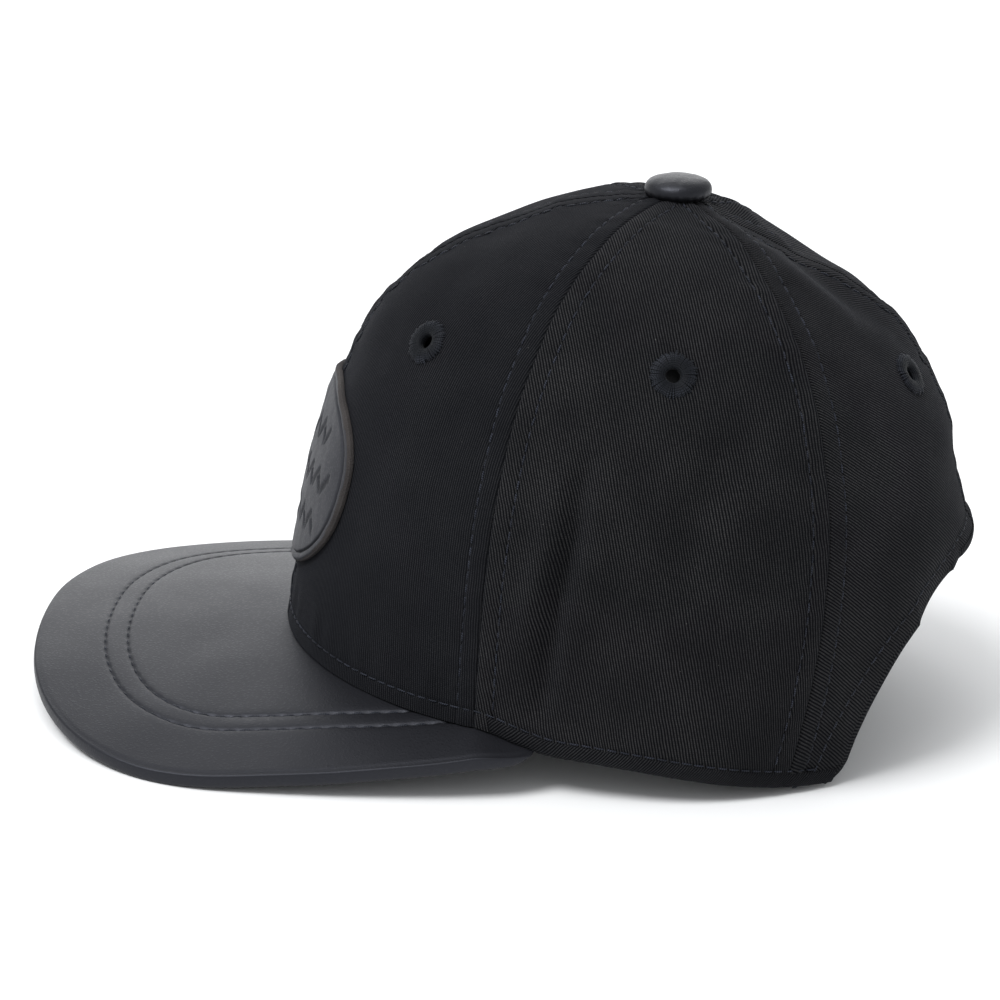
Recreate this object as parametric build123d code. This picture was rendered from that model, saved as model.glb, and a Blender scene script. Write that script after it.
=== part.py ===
from build123d import *
import os
from math import acos, asin, cos, pi, radians, sin, sqrt

os.makedirs("parts", exist_ok=True)

# Frame: +Z up, the wearer faces -Y, +X is the wearer's left. Z = 0 is the plane the cap rests on.
# Lengths in millimetres, angles in degrees. Azimuth 0 is the front of the crown and 180 its rear.

# Crown
crown_front = 100.0
crown_rear = 100.4
crown_half_width = 80.0
crown_height = 149.5
apex_y = 4.7
roundness = (2.20, 2.16, 1.36)
squareness = (4.00, 2.86, 3.98)
lean = (0.148, -0.050, 0.045)
rear_tuck = 9.3
front_seam = 65.3
rear_seam = 122.5
corner = 75.5
base_flat = 134.8
corner_step = 5.0
fabric = 1.0
seam_gap = 0.05
visor_gap = 0.25
button_hole = 0.045

# Visor
visor_length = 72.6
visor_half_width = 91.5
visor_widest_y = -106.3
visor_roundness = 2.28
visor_slope = 0.092
visor_camber = 0.00295
visor_thickness = 4.0
cover_thickness = 1.0
visor_tuck_in = 2.9

# Rear arch
arch_half_width = 55.5
arch_height = 57.4
arch_roundness = 3.0
arch_hem_width = 8.0

# Trims
patch_chord = 79.0
patch_height = 57.4
patch_centre_z = 64.0
patch_thickness = 2.0
button_diameter = 19.0
button_height = 5.5
eyelet_diameter = 13.0
eyelet_hole = 4.0
eyelet_height = 0.70
eyelet_places = ((38.0, 98.0), (93.0, 108.0), (158.5, 109.0))
sleeve_radius = 2.7
inner_ring_radius = 4.4
hem_height = 4.5
hem_thickness = 0.7
hem_gap = 0.1
tape_width = 14.0
tape_thickness = 0.5
tape_top = 0.19
buckram_thickness = 0.8
buckram_margin = 8.0
buckram_top = 0.40
sweatband_span = 118.0
sweatband_height = 32.0
sweatband_thickness = 1.0
sweatband_depth = 3.8
foam_span = 48.0
label_span = (98.0, 114.0)
label_thickness = 0.4

# Rear closure
strap_width = 19.0
strap_tip_width = 17.0
strap_thickness = 1.6
strap_rounding = 0.4
strap_z = 12.0
strap_root_x = 56.5
strap_y = 54.6
strap_gap = 0.35
snap_pitch = 9.5
snap_count = 7
first_snap = 15.0
hole_diameter = 5.4
peg_diameter = 4.2
peg_height = 2.2

# Bump insert
shell_clearance = 5.0
shell_rear_clearance = 9.0
shell_thickness = 2.0
pad_thickness = 6.0
shell_rim = (38.0, 42.0, 68.0)
shell_eye = 0.10
vent_width = 8.0
vent_length = 34.0
vents = ((45.0, 72.0), (58.0, 72.0), (122.0, 84.0), (136.0, 88.0))
fastener_azimuths = (30.0, 90.0, 145.0)
fastener_half_span = 6.0
fastener_band = (62.0, 78.0)


def smooth(x):
    """Smooth step from 0 to 1 as x goes from 0 to 1."""
    x = min(max(x, 0.0), 1.0)
    return x * x * (3 - 2 * x)


def around(values, phi):
    """Value that runs smoothly from the front, through the side, to the rear."""
    front, side, rear = values
    mean = (front + rear) / 4 + side / 2
    return mean + (front - rear) / 2 * cos(phi) + ((front + rear) / 4 - side / 2) * cos(2 * phi)


def half_length(phi):
    return crown_front if cos(phi) > 0 else crown_rear


def visor_top(x, y):
    """Height of the visor's upper face."""
    side_drop = visor_camber * visor_half_width**2 / 2
    middle = visor_thickness + side_drop - visor_slope * (visor_widest_y + crown_front)
    return middle + visor_slope * (y + crown_front) - visor_camber * x * x / 2


def base_height(phi):
    """Height of the crown's lower edge."""
    azimuth = abs(phi)
    limit = min(azimuth, radians(corner))
    height = visor_top(crown_half_width * sin(limit), -crown_front * cos(limit)) + visor_gap
    fall = (azimuth - radians(corner)) / radians(base_flat - corner)
    step = corner_step * smooth((azimuth - radians(corner + 0.6)) / radians(4.4))
    return (height - step) * (1 - smooth(fall))


def rise_at_height(phi, height):
    """Rise (0 at the base, 1 at the apex) where the crown is this far above its base."""
    share = min(max(height / (crown_height - base_height(phi)), 0.0), 1.0)
    return 2 / pi * asin(share ** (around(squareness, phi) / 2))


def rise_at_shrink(phi, shrink):
    """Rise where the crown's plan has shrunk to this share of its base."""
    return 2 / pi * acos(shrink ** (around(roundness, phi) / 2))


def crown_point(phi, rise):
    """Point on the outside of the crown."""
    turn = min(max(rise, 0.0), 1.0) * pi / 2
    shrink = cos(turn) ** (2 / around(roundness, phi))
    climb = sin(turn) ** (2 / around(squareness, phi))
    leaning = shrink * (1 - around(lean, phi) * climb)
    tuck = rear_tuck * smooth((abs(phi) - radians(85)) / radians(40)) * (1 - climb) ** 3
    x = crown_half_width * sin(phi) * leaning
    y = -half_length(phi) * cos(phi) * leaning + apex_y * (1 - shrink) - tuck
    base = base_height(phi)
    return Vector(x, y, base + (crown_height - base) * climb)


def layer_point(phi, rise, depth):
    """Point at a depth inside the crown's outer face (negative depth is outside)."""
    low, high = max(rise - 0.01, 0.0), min(rise + 0.01, 0.995)
    along = crown_point(phi + 0.01, rise) - crown_point(phi - 0.01, rise)
    up = crown_point(phi, high) - crown_point(phi, low)
    outward = along.cross(up).normalized()
    return crown_point(phi, rise) - outward * depth


def level(phi):
    return 0.0


def sheet_solid(place, outer, inner, columns=11, rows=13, under=level):
    """Closed curved sheet; place(u, v) gives azimuth and rise for u and v from 0 to 1.

    Both depths are counted from the surface that lies under(azimuth) inside the crown.
    """
    grids = []
    for depth in (outer, inner):
        grid = []
        for i in range(columns):
            line = []
            for j in range(rows):
                phi, rise = place(i / (columns - 1), j / (rows - 1))
                line.append(layer_point(phi, rise, depth + under(phi)))
            grid.append(line)
        grids.append(grid)
    skins = [Face.make_surface_from_array_of_points(grid, tol=0.004) for grid in grids]
    faces = list(skins)
    for edge in skins[0].edges():
        partner = skins[1].edges().sort_by_distance(edge @ 0.5)[0]
        faces.append(Face.make_surface_from_curves(edge, partner))
    solid = Solid(Shell(faces))
    return solid if solid.volume > 0 else Solid(solid.wrapped.Reversed())


def panel_place(start, end):
    """Panel between two seams, from the base to the button hole."""
    def place(u, v):
        phi = radians(start + (end - start) * u)
        top = rise_at_shrink(phi, button_hole)
        return phi, top * v**1.7
    return place


def save(shape, name):
    """Write one sub-part to its own file."""
    export_step(shape, f"parts/{name}.step")


def mirrored(shape):
    """The same piece on the other side of the cap."""
    return mirror(shape, Plane.YZ)


def radius_at(phi, rise):
    """Distance in plan from the axis through the button."""
    point = crown_point(phi, rise)
    return sqrt(point.X**2 + (point.Y - apex_y) ** 2)


def strip_place(azimuth, width, low, top_shrink):
    """Strip of even width up a meridian, from a height to a share of the plan."""
    def place(u, v):
        phi = radians(azimuth)
        start = rise_at_height(phi, low)
        rise = start + (rise_at_shrink(phi, top_shrink) - start) * v
        return phi + (u - 0.5) * width / radius_at(phi, rise), rise
    return place


def inset_place(start, end, margin, low, top_shrink):
    """Field between two seams, kept a margin clear of both."""
    def place(u, v):
        phi = radians(start + (end - start) * u)
        begin = rise_at_height(phi, low)
        rise = begin + (rise_at_shrink(phi, top_shrink) - begin) * v
        edge = margin / radius_at(phi, rise)
        return radians(start) + edge + (radians(end - start) - 2 * edge) * u, rise
    return place


def band_place(start, end, low, high):
    """Band between two azimuths and two heights above the base."""
    def place(u, v):
        phi = radians(start + (end - start) * u)
        return phi, rise_at_height(phi, low + (high - low) * v)
    return place


def arch_prism(margin=0.0):
    """Solid that fills the rear arch, grown by a margin."""
    half = arch_half_width + margin
    height = arch_height + margin
    power = 2 / arch_roundness
    turns = [pi / 2 * i / 10 for i in range(11)]
    right = [(half * cos(a) ** power if a < pi / 2 else 0.0, height * sin(a) ** power) for a in turns]
    left = [(-x, z) for x, z in reversed(right[:-1])]
    crest = Spline(*[Vector(x, 30, z) for x, z in right + left])
    drop = 20.0
    sides = Polyline(crest @ 1, (-half, 30, -drop), (half, 30, -drop), crest @ 0)
    face = Face(Wire([crest, *sides.edges()]))
    return Solid.extrude(face, Vector(0, 100, 0))


def surface_plane(azimuth, height):
    """Plane on the outside of the crown, its z direction pointing outward."""
    phi = radians(azimuth)
    rise = rise_at_height(phi, height)
    outside = layer_point(phi, rise, -1.0)
    point = crown_point(phi, rise)
    return Plane(origin=point, z_dir=outside - point)


# Crown panels, with the holes for the eyelets and the rear arch

eyelet_planes = [surface_plane(azimuth, height) for azimuth, height in eyelet_places]


def eyelet_bore(plane, radius):
    return plane * Cylinder(radius, 16)


gap_angle = seam_gap / crown_half_width * 180 / pi
seams = (0.0, front_seam, rear_seam, 180.0)
arch = arch_prism()
for name, start, end, plane in zip(("front", "side", "rear"), seams, seams[1:], eyelet_planes):
    place = panel_place(start + gap_angle, end - gap_angle)
    panel = sheet_solid(place, 0.0, fabric, columns=25, rows=15)
    panel = panel - eyelet_bore(plane, sleeve_radius + 0.2)
    if name == "rear":
        panel = panel - arch
    save(panel, f"{name}_panel_left")
    save(mirrored(panel), f"{name}_panel_right")

buckram_depth = fabric + 0.1
buckram_place = inset_place(0.0, front_seam, buckram_margin, 3.0, buckram_top)
buckram = sheet_solid(buckram_place, buckram_depth, buckram_depth + buckram_thickness)
buckram = buckram - eyelet_bore(eyelet_planes[0], inner_ring_radius + 0.4)
save(buckram, "front_buckram_left")
save(mirrored(buckram), "front_buckram_right")


# Tapes that cover the seams inside

tape_depth = fabric + 0.15


def seam_tape(azimuth, low):
    place = strip_place(azimuth, tape_width, low, tape_top)
    return sheet_solid(place, tape_depth, tape_depth + tape_thickness, columns=5)


save(seam_tape(0.0, 3.0), "seam_tape_front_centre")
save(seam_tape(180.0, arch_height + arch_hem_width + 3.0), "seam_tape_rear_centre")
for name, azimuth in (("front", front_seam), ("rear", rear_seam)):
    tape = seam_tape(azimuth, 2.0)
    save(tape, f"seam_tape_{name}_left")
    save(mirrored(tape), f"seam_tape_{name}_right")


# Embroidered eyelets: a raised ring outside, a sleeve through the panel and a small ring inside

def eyelet(plane):
    ring = Pos(0, 0, 0.3 + eyelet_height / 2) * Cylinder(eyelet_diameter / 2, eyelet_height)
    ring = fillet(ring.edges().group_by(Axis.Z)[-1], 0.3)
    sleeve = Pos(0, 0, -0.4) * Cylinder(sleeve_radius, 2.4)
    inner_ring = Pos(0, 0, -1.6) * Cylinder(inner_ring_radius, 0.5)
    bore = Cylinder(eyelet_hole / 2, 10)
    return plane * (ring + sleeve + inner_ring - bore)


eyelets = [eyelet(plane) for plane in eyelet_planes]
save(Compound(children=eyelets + [mirrored(item) for item in eyelets]), "eyelets")


# Hems

hem_place = band_place(corner + 1.0, base_flat - 0.3, 0.0, hem_height)
hem = sheet_solid(hem_place, -hem_thickness, -hem_gap, columns=41, rows=4)
save(hem, "base_hem_left")
save(mirrored(hem), "base_hem_right")

lining_place = band_place(rear_seam + 1.5, 179.98, 1.0, 75.0)
rear_lining = sheet_solid(lining_place, fabric + 0.8, fabric + 1.6, columns=15)
facing = (rear_lining & arch_prism(arch_hem_width)) - arch_prism(0.4)
save(facing, "arch_facing_left")
save(mirrored(facing), "arch_facing_right")


# Sweatband with its foam and a blank label

sweatband = sheet_solid(
    band_place(-sweatband_span, sweatband_span, 0.8, sweatband_height),
    sweatband_depth,
    sweatband_depth + sweatband_thickness,
    columns=95,
    rows=6,
)
save(sweatband, "sweatband")
foam_place = band_place(-foam_span, foam_span, 4.0, sweatband_height - 4.0)
foam = sheet_solid(foam_place, sweatband_depth - 1.6, sweatband_depth - 0.2, columns=15, rows=5)
save(foam, "sweatband_foam")
label_depth = sweatband_depth + sweatband_thickness + 0.2
label_place = band_place(*label_span, 5.0, 27.0)
label = sheet_solid(label_place, label_depth, label_depth + label_thickness, columns=5, rows=5)
save(label, "blank_care_label")


# Visor

corner_x = crown_half_width * sin(radians(corner))
corner_y = -crown_front * cos(radians(corner))


def visor_outline(inset, tuck):
    """Plan of the visor; inset draws in its free edge, tuck its edge inside the crown."""
    half = visor_half_width - inset
    reach = visor_widest_y + crown_front + visor_length - inset
    power = 2 / visor_roundness
    points = []
    for i in range(-12, 13):
        turn = pi / 2 * i / 12
        side = 1 if turn >= 0 else -1
        along = max(cos(turn), 0.0) ** power
        points.append((side * half * abs(sin(turn)) ** power, visor_widest_y - reach * along))
    rim = Spline(*points, tangents=((0, -1), (0, 1)))
    root_x = corner_x - inset
    depth = corner_y - visor_widest_y - inset
    right = EllipticalCenterArc((root_x, visor_widest_y), half - root_x, depth, 0, arc_size=90)
    left = EllipticalCenterArc((-root_x, visor_widest_y), half - root_x, depth, 90, arc_size=90)
    inner = EllipticalCenterArc(
        (0, 0), crown_half_width - tuck, crown_front - tuck, 270 - corner, arc_size=2 * corner
    )
    ends = sorted((inner @ 0, inner @ 1), key=lambda point: point.X)
    root_y = visor_widest_y + depth
    closing = [Line((-root_x, root_y), ends[0]), Line((root_x, root_y), ends[1])]
    edges = [edge for curve in (rim, right, left, inner) for edge in curve.edges()]
    return Face(Wire.combine([*edges, *closing])[0])


def visor_slab(top, bottom):
    """Cambered, sloping slab between two depths under the visor's upper face."""
    half = visor_half_width + 20
    drop = visor_camber * half**2 / 2
    back, front = 40.0, -200.0
    middle = visor_top(0, back)
    low, high = middle - drop - top, middle + drop - top
    upper = Bezier((-half, back, low), (0, back, high), (half, back, low))
    lower = upper.moved(Location((0, 0, top - bottom)))
    ends = [Line(upper @ 0, lower @ 0), Line(upper @ 1, lower @ 1)]
    face = Face(Wire.combine([*upper.edges(), *lower.edges(), *ends])[0])
    run = front - back
    return Solid.extrude(face, Vector(0, run, run * visor_slope))


def visor_layer(top, bottom, inset, tuck=visor_tuck_in):
    prism = Solid.extrude(visor_outline(inset, tuck).moved(Location((0, 0, -20))), Vector(0, 0, 80))
    return visor_slab(top, bottom) & prism


fold = cover_thickness + 0.2
board_top = cover_thickness + 0.1
under_top = visor_thickness - cover_thickness
whole = visor_layer(0.0, visor_thickness, 0.0)
for tuck in (visor_tuck_in + 0.3, visor_tuck_in + 9.0):
    whole = whole - visor_layer(cover_thickness, visor_thickness + 5, fold, tuck)
save(whole, "visor_top_cover")
save(visor_layer(board_top, under_top - 0.1, fold + 0.3, visor_tuck_in + 0.7), "visor_board")
save(visor_layer(under_top, visor_thickness, fold + 0.3, visor_tuck_in + 0.7), "visor_under_cover")


# Front patch

patch_place = band_place(-34.0, 34.0, 6.0, 92.0)
patch_sheet = sheet_solid(patch_place, -0.1 - patch_thickness, -0.1, columns=17, rows=15)
oval = Face(Wire.make_ellipse(patch_chord / 2, patch_height / 2, Plane.XZ))
patch_prism = Solid.extrude(oval.moved(Location((0, -40, patch_centre_z))), Vector(0, -100, 0))
save(patch_sheet & patch_prism, "front_patch")


# Button at the apex

button_base = crown_height + 0.3
button_radius = button_diameter / 2
skirt_height = 2.4
crown_of_button = button_height - skirt_height
cap_radius = (button_radius**2 + crown_of_button**2) / (2 * crown_of_button)
dome = Pos(0, 0, button_height - cap_radius) * Sphere(cap_radius)
trim = Cylinder(button_radius - 0.2, button_height)
dome = dome & (Pos(0, 0, skirt_height + button_height / 2 - 0.3) * trim)
skirt = Pos(0, 0, skirt_height / 2) * Cylinder(button_radius, skirt_height)
skirt = fillet(skirt.edges(), 0.6)
core = Pos(0, 0, 1.6) * Cylinder(button_radius - 1.6, 2.2)
core_space = Pos(0, 0, 1.2) * Cylinder(button_radius - 1.5, 3.2)
apex = Pos(0, apex_y, button_base)
save(apex * (dome + skirt - core_space), "button_cover")
save(apex * core, "button_core")
shank = Pos(0, 0, -1.65) * Cylinder(1.4, 3.9)
washer = Pos(0, 0, -3.3) * Cylinder(7.0, 0.6)
save(apex * (shank + washer), "button_rivet")


# Rear closure: two snap straps across the arch, each on a root sewn into the crown

def strap_bar(start, end, y):
    """Straight part of a strap, tapering from the root to a round tip at end."""
    turn = 1 if end > start else -1
    tip_centre = end - turn * strap_tip_width / 2
    body = Polygon(
        (start, strap_width / 2),
        (start, -strap_width / 2),
        (tip_centre, -strap_tip_width / 2),
        (tip_centre, strap_tip_width / 2),
        align=None,
    )
    shape = body + Pos(tip_centre, 0) * Circle(strap_tip_width / 2)
    plane = Plane(origin=(0, y, strap_z), x_dir=(1, 0, 0), z_dir=(0, -1, 0))
    bar = extrude(plane * shape, strap_thickness / 2, both=True)
    return fillet(bar.edges().filter_by(Axis.Y, reverse=True), strap_rounding)


def snap_bar(radius, depth, x, y):
    """Short cylinder along Y at one snap place."""
    return Pos(x, y, strap_z) * Rot(90, 0, 0) * Cylinder(radius, depth)


hinge_x = strap_root_x - 4.6
hinge_gap = 0.3
inner_y = strap_y
outer_y = strap_y + strap_thickness + strap_gap
hole_strap = strap_bar(-hinge_x + hinge_gap, first_snap + 6.6, outer_y)
peg_strap = strap_bar(hinge_x - hinge_gap, -first_snap - 5.5, inner_y)
peg_sink = 0.4
peg_base = inner_y + strap_thickness / 2
for i in range(snap_count):
    hole_x = first_snap - snap_pitch * i
    peg_x = first_snap - snap_pitch * (snap_count // 2) + snap_pitch * i
    hole_strap = hole_strap - snap_bar(hole_diameter / 2, 3 * strap_thickness, hole_x, outer_y)
    peg_y = peg_base + (peg_height - peg_sink) / 2
    peg_strap = peg_strap + snap_bar(peg_diameter / 2, peg_height + peg_sink, peg_x, peg_y)
save(hole_strap, "hole_strap")
save(peg_strap, "peg_strap")


def strap_root(y):
    """Root of the left strap: a tab along the crown's inside and a stub that carries the hinge."""
    tab_place = band_place(121.0, 133.5, 2.5, 21.5)
    tab = sheet_solid(tab_place, fabric + 1.8, fabric + 3.2, columns=5, rows=5)
    start = hinge_x + hinge_gap
    end = strap_root_x + 0.7
    stub = Pos((start + end) / 2, y, strap_z) * Box(end - start, strap_thickness, strap_width)
    return tab + stub


save(strap_root(inner_y), "strap_root_left")
save(mirrored(strap_root(outer_y)), "strap_root_right")


# Bump insert: a vented shell with foam pads, held by fastener discs

def shell_depth(phi):
    return around((shell_clearance, shell_clearance + 1.0, shell_rear_clearance), phi)


def shell_sheet(place, outer, inner, columns=11, rows=9):
    """Sheet with its depths counted from the shell's outer face."""
    return sheet_solid(place, outer, inner, columns, rows, under=shell_depth)


def shell_half_place(u, v):
    phi = pi * u
    start = rise_at_height(phi, around(shell_rim, phi))
    return phi, start + (rise_at_shrink(phi, shell_eye) - start) * v


def vent(azimuth, height, length):
    """Upright slot through the shell, cut outward from its axis."""
    plane = surface_plane(azimuth, height)
    slot = plane * Rot(0, 0, 90) * SlotOverall(length, vent_width)
    return extrude(slot, 25, both=True)


shell_half = shell_sheet(shell_half_place, 0.0, shell_thickness, columns=41, rows=25)
for azimuth, height in vents:
    shell_half = shell_half - vent(azimuth, height, vent_length)
save(shell_half.fuse(mirrored(shell_half)), "bump_shell")

pad_top = shell_thickness + 0.5
pad_under = pad_top + pad_thickness


def pad(start, end, low, high):
    return shell_sheet(band_place(start, end, low, high), pad_top, pad_under, columns=13, rows=13)


def crown_pad_place(u, v):
    phi = radians(14.0 + 152.0 * u)
    start = rise_at_shrink(phi, 0.55)
    return phi, start + (rise_at_shrink(phi, 0.22) - start) * v


save(pad(-27.0, 27.0, 42.0, 84.0), "front_pad")
save(pad(160.0, 200.0, 73.0, 103.0), "rear_pad")
side_pad = pad(72.0, 108.0, 47.0, 92.0)
save(side_pad, "side_pad_left")
save(mirrored(side_pad), "side_pad_right")
crown_pad = shell_sheet(crown_pad_place, pad_top, pad_under, columns=15, rows=7)
save(crown_pad, "crown_pad_left")
save(mirrored(crown_pad), "crown_pad_right")

fasteners = []
for azimuth in fastener_azimuths:
    ends = (azimuth - fastener_half_span, azimuth + fastener_half_span)
    place = band_place(*ends, *fastener_band)
    below = shell_depth(radians(azimuth)) - 0.3
    disc = sheet_solid(place, fabric + buckram_thickness + 0.3, below, columns=5, rows=5)
    fasteners += [disc, mirrored(disc)]
save(Compound(children=fasteners), "insert_fasteners")
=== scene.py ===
from math import cos, pi, radians, sin

import bmesh
import bpy
import numpy as np
from mathutils import Matrix, Vector


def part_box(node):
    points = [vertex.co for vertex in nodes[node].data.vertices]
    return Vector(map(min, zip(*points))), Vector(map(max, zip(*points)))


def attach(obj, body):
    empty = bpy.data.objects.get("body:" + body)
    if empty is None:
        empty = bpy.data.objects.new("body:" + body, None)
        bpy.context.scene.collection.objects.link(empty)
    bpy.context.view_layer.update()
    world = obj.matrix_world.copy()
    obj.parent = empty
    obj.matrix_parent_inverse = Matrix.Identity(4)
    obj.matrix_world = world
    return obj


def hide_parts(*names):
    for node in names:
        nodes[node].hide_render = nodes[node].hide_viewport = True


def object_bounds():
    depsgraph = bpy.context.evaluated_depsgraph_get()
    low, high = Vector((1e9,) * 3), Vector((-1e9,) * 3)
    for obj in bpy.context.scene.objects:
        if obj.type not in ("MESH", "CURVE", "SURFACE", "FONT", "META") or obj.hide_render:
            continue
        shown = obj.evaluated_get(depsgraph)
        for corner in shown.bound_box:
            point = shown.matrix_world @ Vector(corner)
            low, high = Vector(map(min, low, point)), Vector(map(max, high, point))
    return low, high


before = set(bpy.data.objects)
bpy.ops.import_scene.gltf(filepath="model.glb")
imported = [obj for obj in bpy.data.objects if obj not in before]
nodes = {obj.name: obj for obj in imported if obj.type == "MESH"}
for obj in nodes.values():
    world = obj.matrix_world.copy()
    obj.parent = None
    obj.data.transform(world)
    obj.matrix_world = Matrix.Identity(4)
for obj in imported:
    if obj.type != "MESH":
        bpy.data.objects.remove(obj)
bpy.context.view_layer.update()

# Shapes are worked out in millimetres, in the frame's axes, and become metres when a mesh is made.
# Azimuth 0 is the front of the crown and 180 its rear; rise is 0 at the base and 1 at the apex.
MM = 0.001
rng = np.random.default_rng(11)

# Crown, as the frame has it
crown_front = 100.0
crown_rear = 100.4
crown_half_width = 80.0
crown_height = 149.5
apex_y = 4.7
roundness = (2.20, 2.16, 1.36)
squareness = (4.00, 2.86, 3.98)
lean = (0.148, -0.050, 0.045)
rear_tuck = 9.3
front_seam = radians(65.3)
rear_seam = radians(122.5)
corner = radians(75.5)
base_flat = radians(134.8)
corner_step = 5.0
visor_gap = 0.25
button_hole = 0.045

# Visor
visor_length = 72.6
visor_half_width = 91.5
visor_widest_y = -106.3
visor_roundness = 2.28
visor_slope = 0.092
visor_camber = 0.00295
visor_thickness = 4.0
visor_tuck_in = 2.9
visor_rows = (20.17, 26.62)
visor_pitch = 4.8

# Rear arch
arch_half_width = 57.2
arch_height = 57.4
arch_roundness = 2.5
arch_flare = 3.2
arch_hem_width = 8.0

# Sewing
seam_row = 5.25
stitch_pitch = 3.5
hem_start = radians(65.6)
base_row = 5.3
tape_depth = 1.62
arch_row = 6.0
thread_radius = 0.27
cloth_thickness = 1.0
eyelet_hole = 2.3
eyelet_places = ((38.0, 98.0), (93.0, 108.0), (158.5, 109.0))


# ---- Crown surface

def smooth(x):
    """Smooth step from 0 to 1 as x goes from 0 to 1."""
    x = np.clip(x, 0.0, 1.0)
    return x * x * (3 - 2 * x)


def hump(x, width):
    """Bell curve of height 1 and this half width."""
    return np.exp(-(x / width) ** 2)


def around(values, phi):
    """Value that runs smoothly from the front, through the side, to the rear."""
    front, side, rear = values
    mean = (front + rear) / 4 + side / 2
    return mean + (front - rear) / 2 * np.cos(phi) + ((front + rear) / 4 - side / 2) * np.cos(2 * phi)


def visor_top(x, y):
    """Height of the visor's upper face."""
    side_drop = visor_camber * visor_half_width**2 / 2
    middle = visor_thickness + side_drop - visor_slope * (visor_widest_y + crown_front)
    return middle + visor_slope * (y + crown_front) - visor_camber * x * x / 2


def droop(azimuth):
    """How far the crown's edge and the visor under it dip towards the visor's corners."""
    return corner_step * smooth((azimuth - radians(65.0)) / radians(14.5))


def base_height(phi):
    """Height of the crown's lower edge."""
    azimuth = np.abs(phi)
    limit = np.minimum(azimuth, corner)
    height = visor_top(crown_half_width * np.sin(limit), -crown_front * np.cos(limit)) + visor_gap
    fall = (azimuth - corner) / (base_flat - corner)
    return (height - droop(azimuth)) * (1 - smooth(fall))


def rise_at_height(phi, height):
    """Rise where the crown is this far above its base."""
    share = np.clip(height / (crown_height - base_height(phi)), 0.0, 1.0)
    return 2 / pi * np.arcsin(share ** (around(squareness, phi) / 2))


def rise_at_shrink(phi, shrink):
    """Rise where the crown's plan has shrunk to this share of its base."""
    return 2 / pi * np.arccos(shrink ** (around(roundness, phi) / 2))


def crown_point(phi, rise):
    """Point on the outside of the plain crown."""
    turn = np.clip(rise, 0.0, 1.0) * pi / 2
    shrink = np.cos(turn) ** (2 / around(roundness, phi))
    climb = np.sin(turn) ** (2 / around(squareness, phi))
    leaning = shrink * (1 - around(lean, phi) * climb)
    tuck = rear_tuck * smooth((np.abs(phi) - radians(85)) / radians(40)) * (1 - climb) ** 3
    length = np.where(np.cos(phi) > 0, crown_front, crown_rear)
    x = crown_half_width * np.sin(phi) * leaning
    y = -length * np.cos(phi) * leaning + apex_y * (1 - shrink) - tuck
    base = base_height(phi)
    return np.stack([x, y, base + (crown_height - base) * climb], -1)


def unit(v):
    return v / np.maximum(np.linalg.norm(v, axis=-1, keepdims=True), 1e-9)


def lengths_along(points):
    """Length of a line from its start to each of its points."""
    return np.concatenate([[0], np.cumsum(np.linalg.norm(np.diff(points, axis=0), axis=1))])


def sideways(phi, rise):
    """Way along the crown, in millimetres for each radian of azimuth."""
    return (crown_point(phi + 0.01, rise) - crown_point(phi - 0.01, rise)) / 0.02


def speed(phi, rise):
    """Length of the way along the crown, in millimetres for each radian of azimuth."""
    return np.linalg.norm(sideways(phi, rise), axis=-1)


def outward(phi, rise):
    """Unit normal of the plain crown."""
    low, high = np.maximum(rise - 0.01, 0.0), np.minimum(rise + 0.01, 0.995)
    return unit(np.cross(sideways(phi, rise), crown_point(phi, high) - crown_point(phi, low)))


def off_crown(phi, rise, lift):
    """Point this far outside the plain crown."""
    return crown_point(phi, rise) + outward(phi, rise) * np.asarray(lift)[..., None]


class Meridians:
    """Rise and length by share of the way from the base to the button hole, at any azimuth."""

    step = radians(1.0)

    def __init__(self):
        phi = np.arange(0, 182)[:, None] * self.step
        rise = rise_at_shrink(phi, button_hole) * np.linspace(0, 1, 900) ** 3
        points = crown_point(phi, rise)
        runs = np.linalg.norm(np.diff(points, axis=1), axis=-1)
        reach = np.concatenate([np.zeros((len(phi), 1)), np.cumsum(runs, axis=1)], 1)
        self.lengths = reach[:, -1]
        self.shares = np.linspace(0, 1, 500)
        self.rises = np.array([np.interp(self.shares * r[-1], r, k) for r, k in zip(reach, rise)])

    def column(self, phi):
        azimuth = np.abs(phi)
        azimuth = np.where(azimuth > pi, 2 * pi - azimuth, azimuth) / self.step
        index = np.clip(azimuth.astype(int), 0, len(self.lengths) - 2)
        return index, azimuth - index

    def rise(self, phi, share):
        phi, share = np.broadcast_arrays(phi, share)
        i, a = self.column(phi)
        place = np.clip(share, 0, 1) * (len(self.shares) - 1)
        j = np.clip(place.astype(int), 0, len(self.shares) - 2)
        b = place - j
        low = self.rises[i, j] * (1 - b) + self.rises[i, j + 1] * b
        high = self.rises[i + 1, j] * (1 - b) + self.rises[i + 1, j + 1] * b
        return low * (1 - a) + high * a

    def length(self, phi):
        i, a = self.column(phi)
        return self.lengths[i] * (1 - a) + self.lengths[i + 1] * a


meridians = Meridians()


front_limits = radians(-60), radians(60)
rear_limits = radians(100), pi


def place_at(x, z, limits):
    """Azimuth, between two limits, and rise where the crown passes through x and z."""
    low, high = (np.full(np.shape(x), limit) for limit in limits)
    for _ in range(40):
        middle = (low + high) / 2
        there = crown_point(middle, rise_at_height(middle, z - base_height(middle)))[..., 0]
        below = there < x if limits is front_limits else there > x
        low, high = np.where(below, middle, low), np.where(below, high, middle)
    phi = (low + high) / 2
    return phi, rise_at_height(phi, z - base_height(phi))


# ---- Soft shape of the cloth

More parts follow.
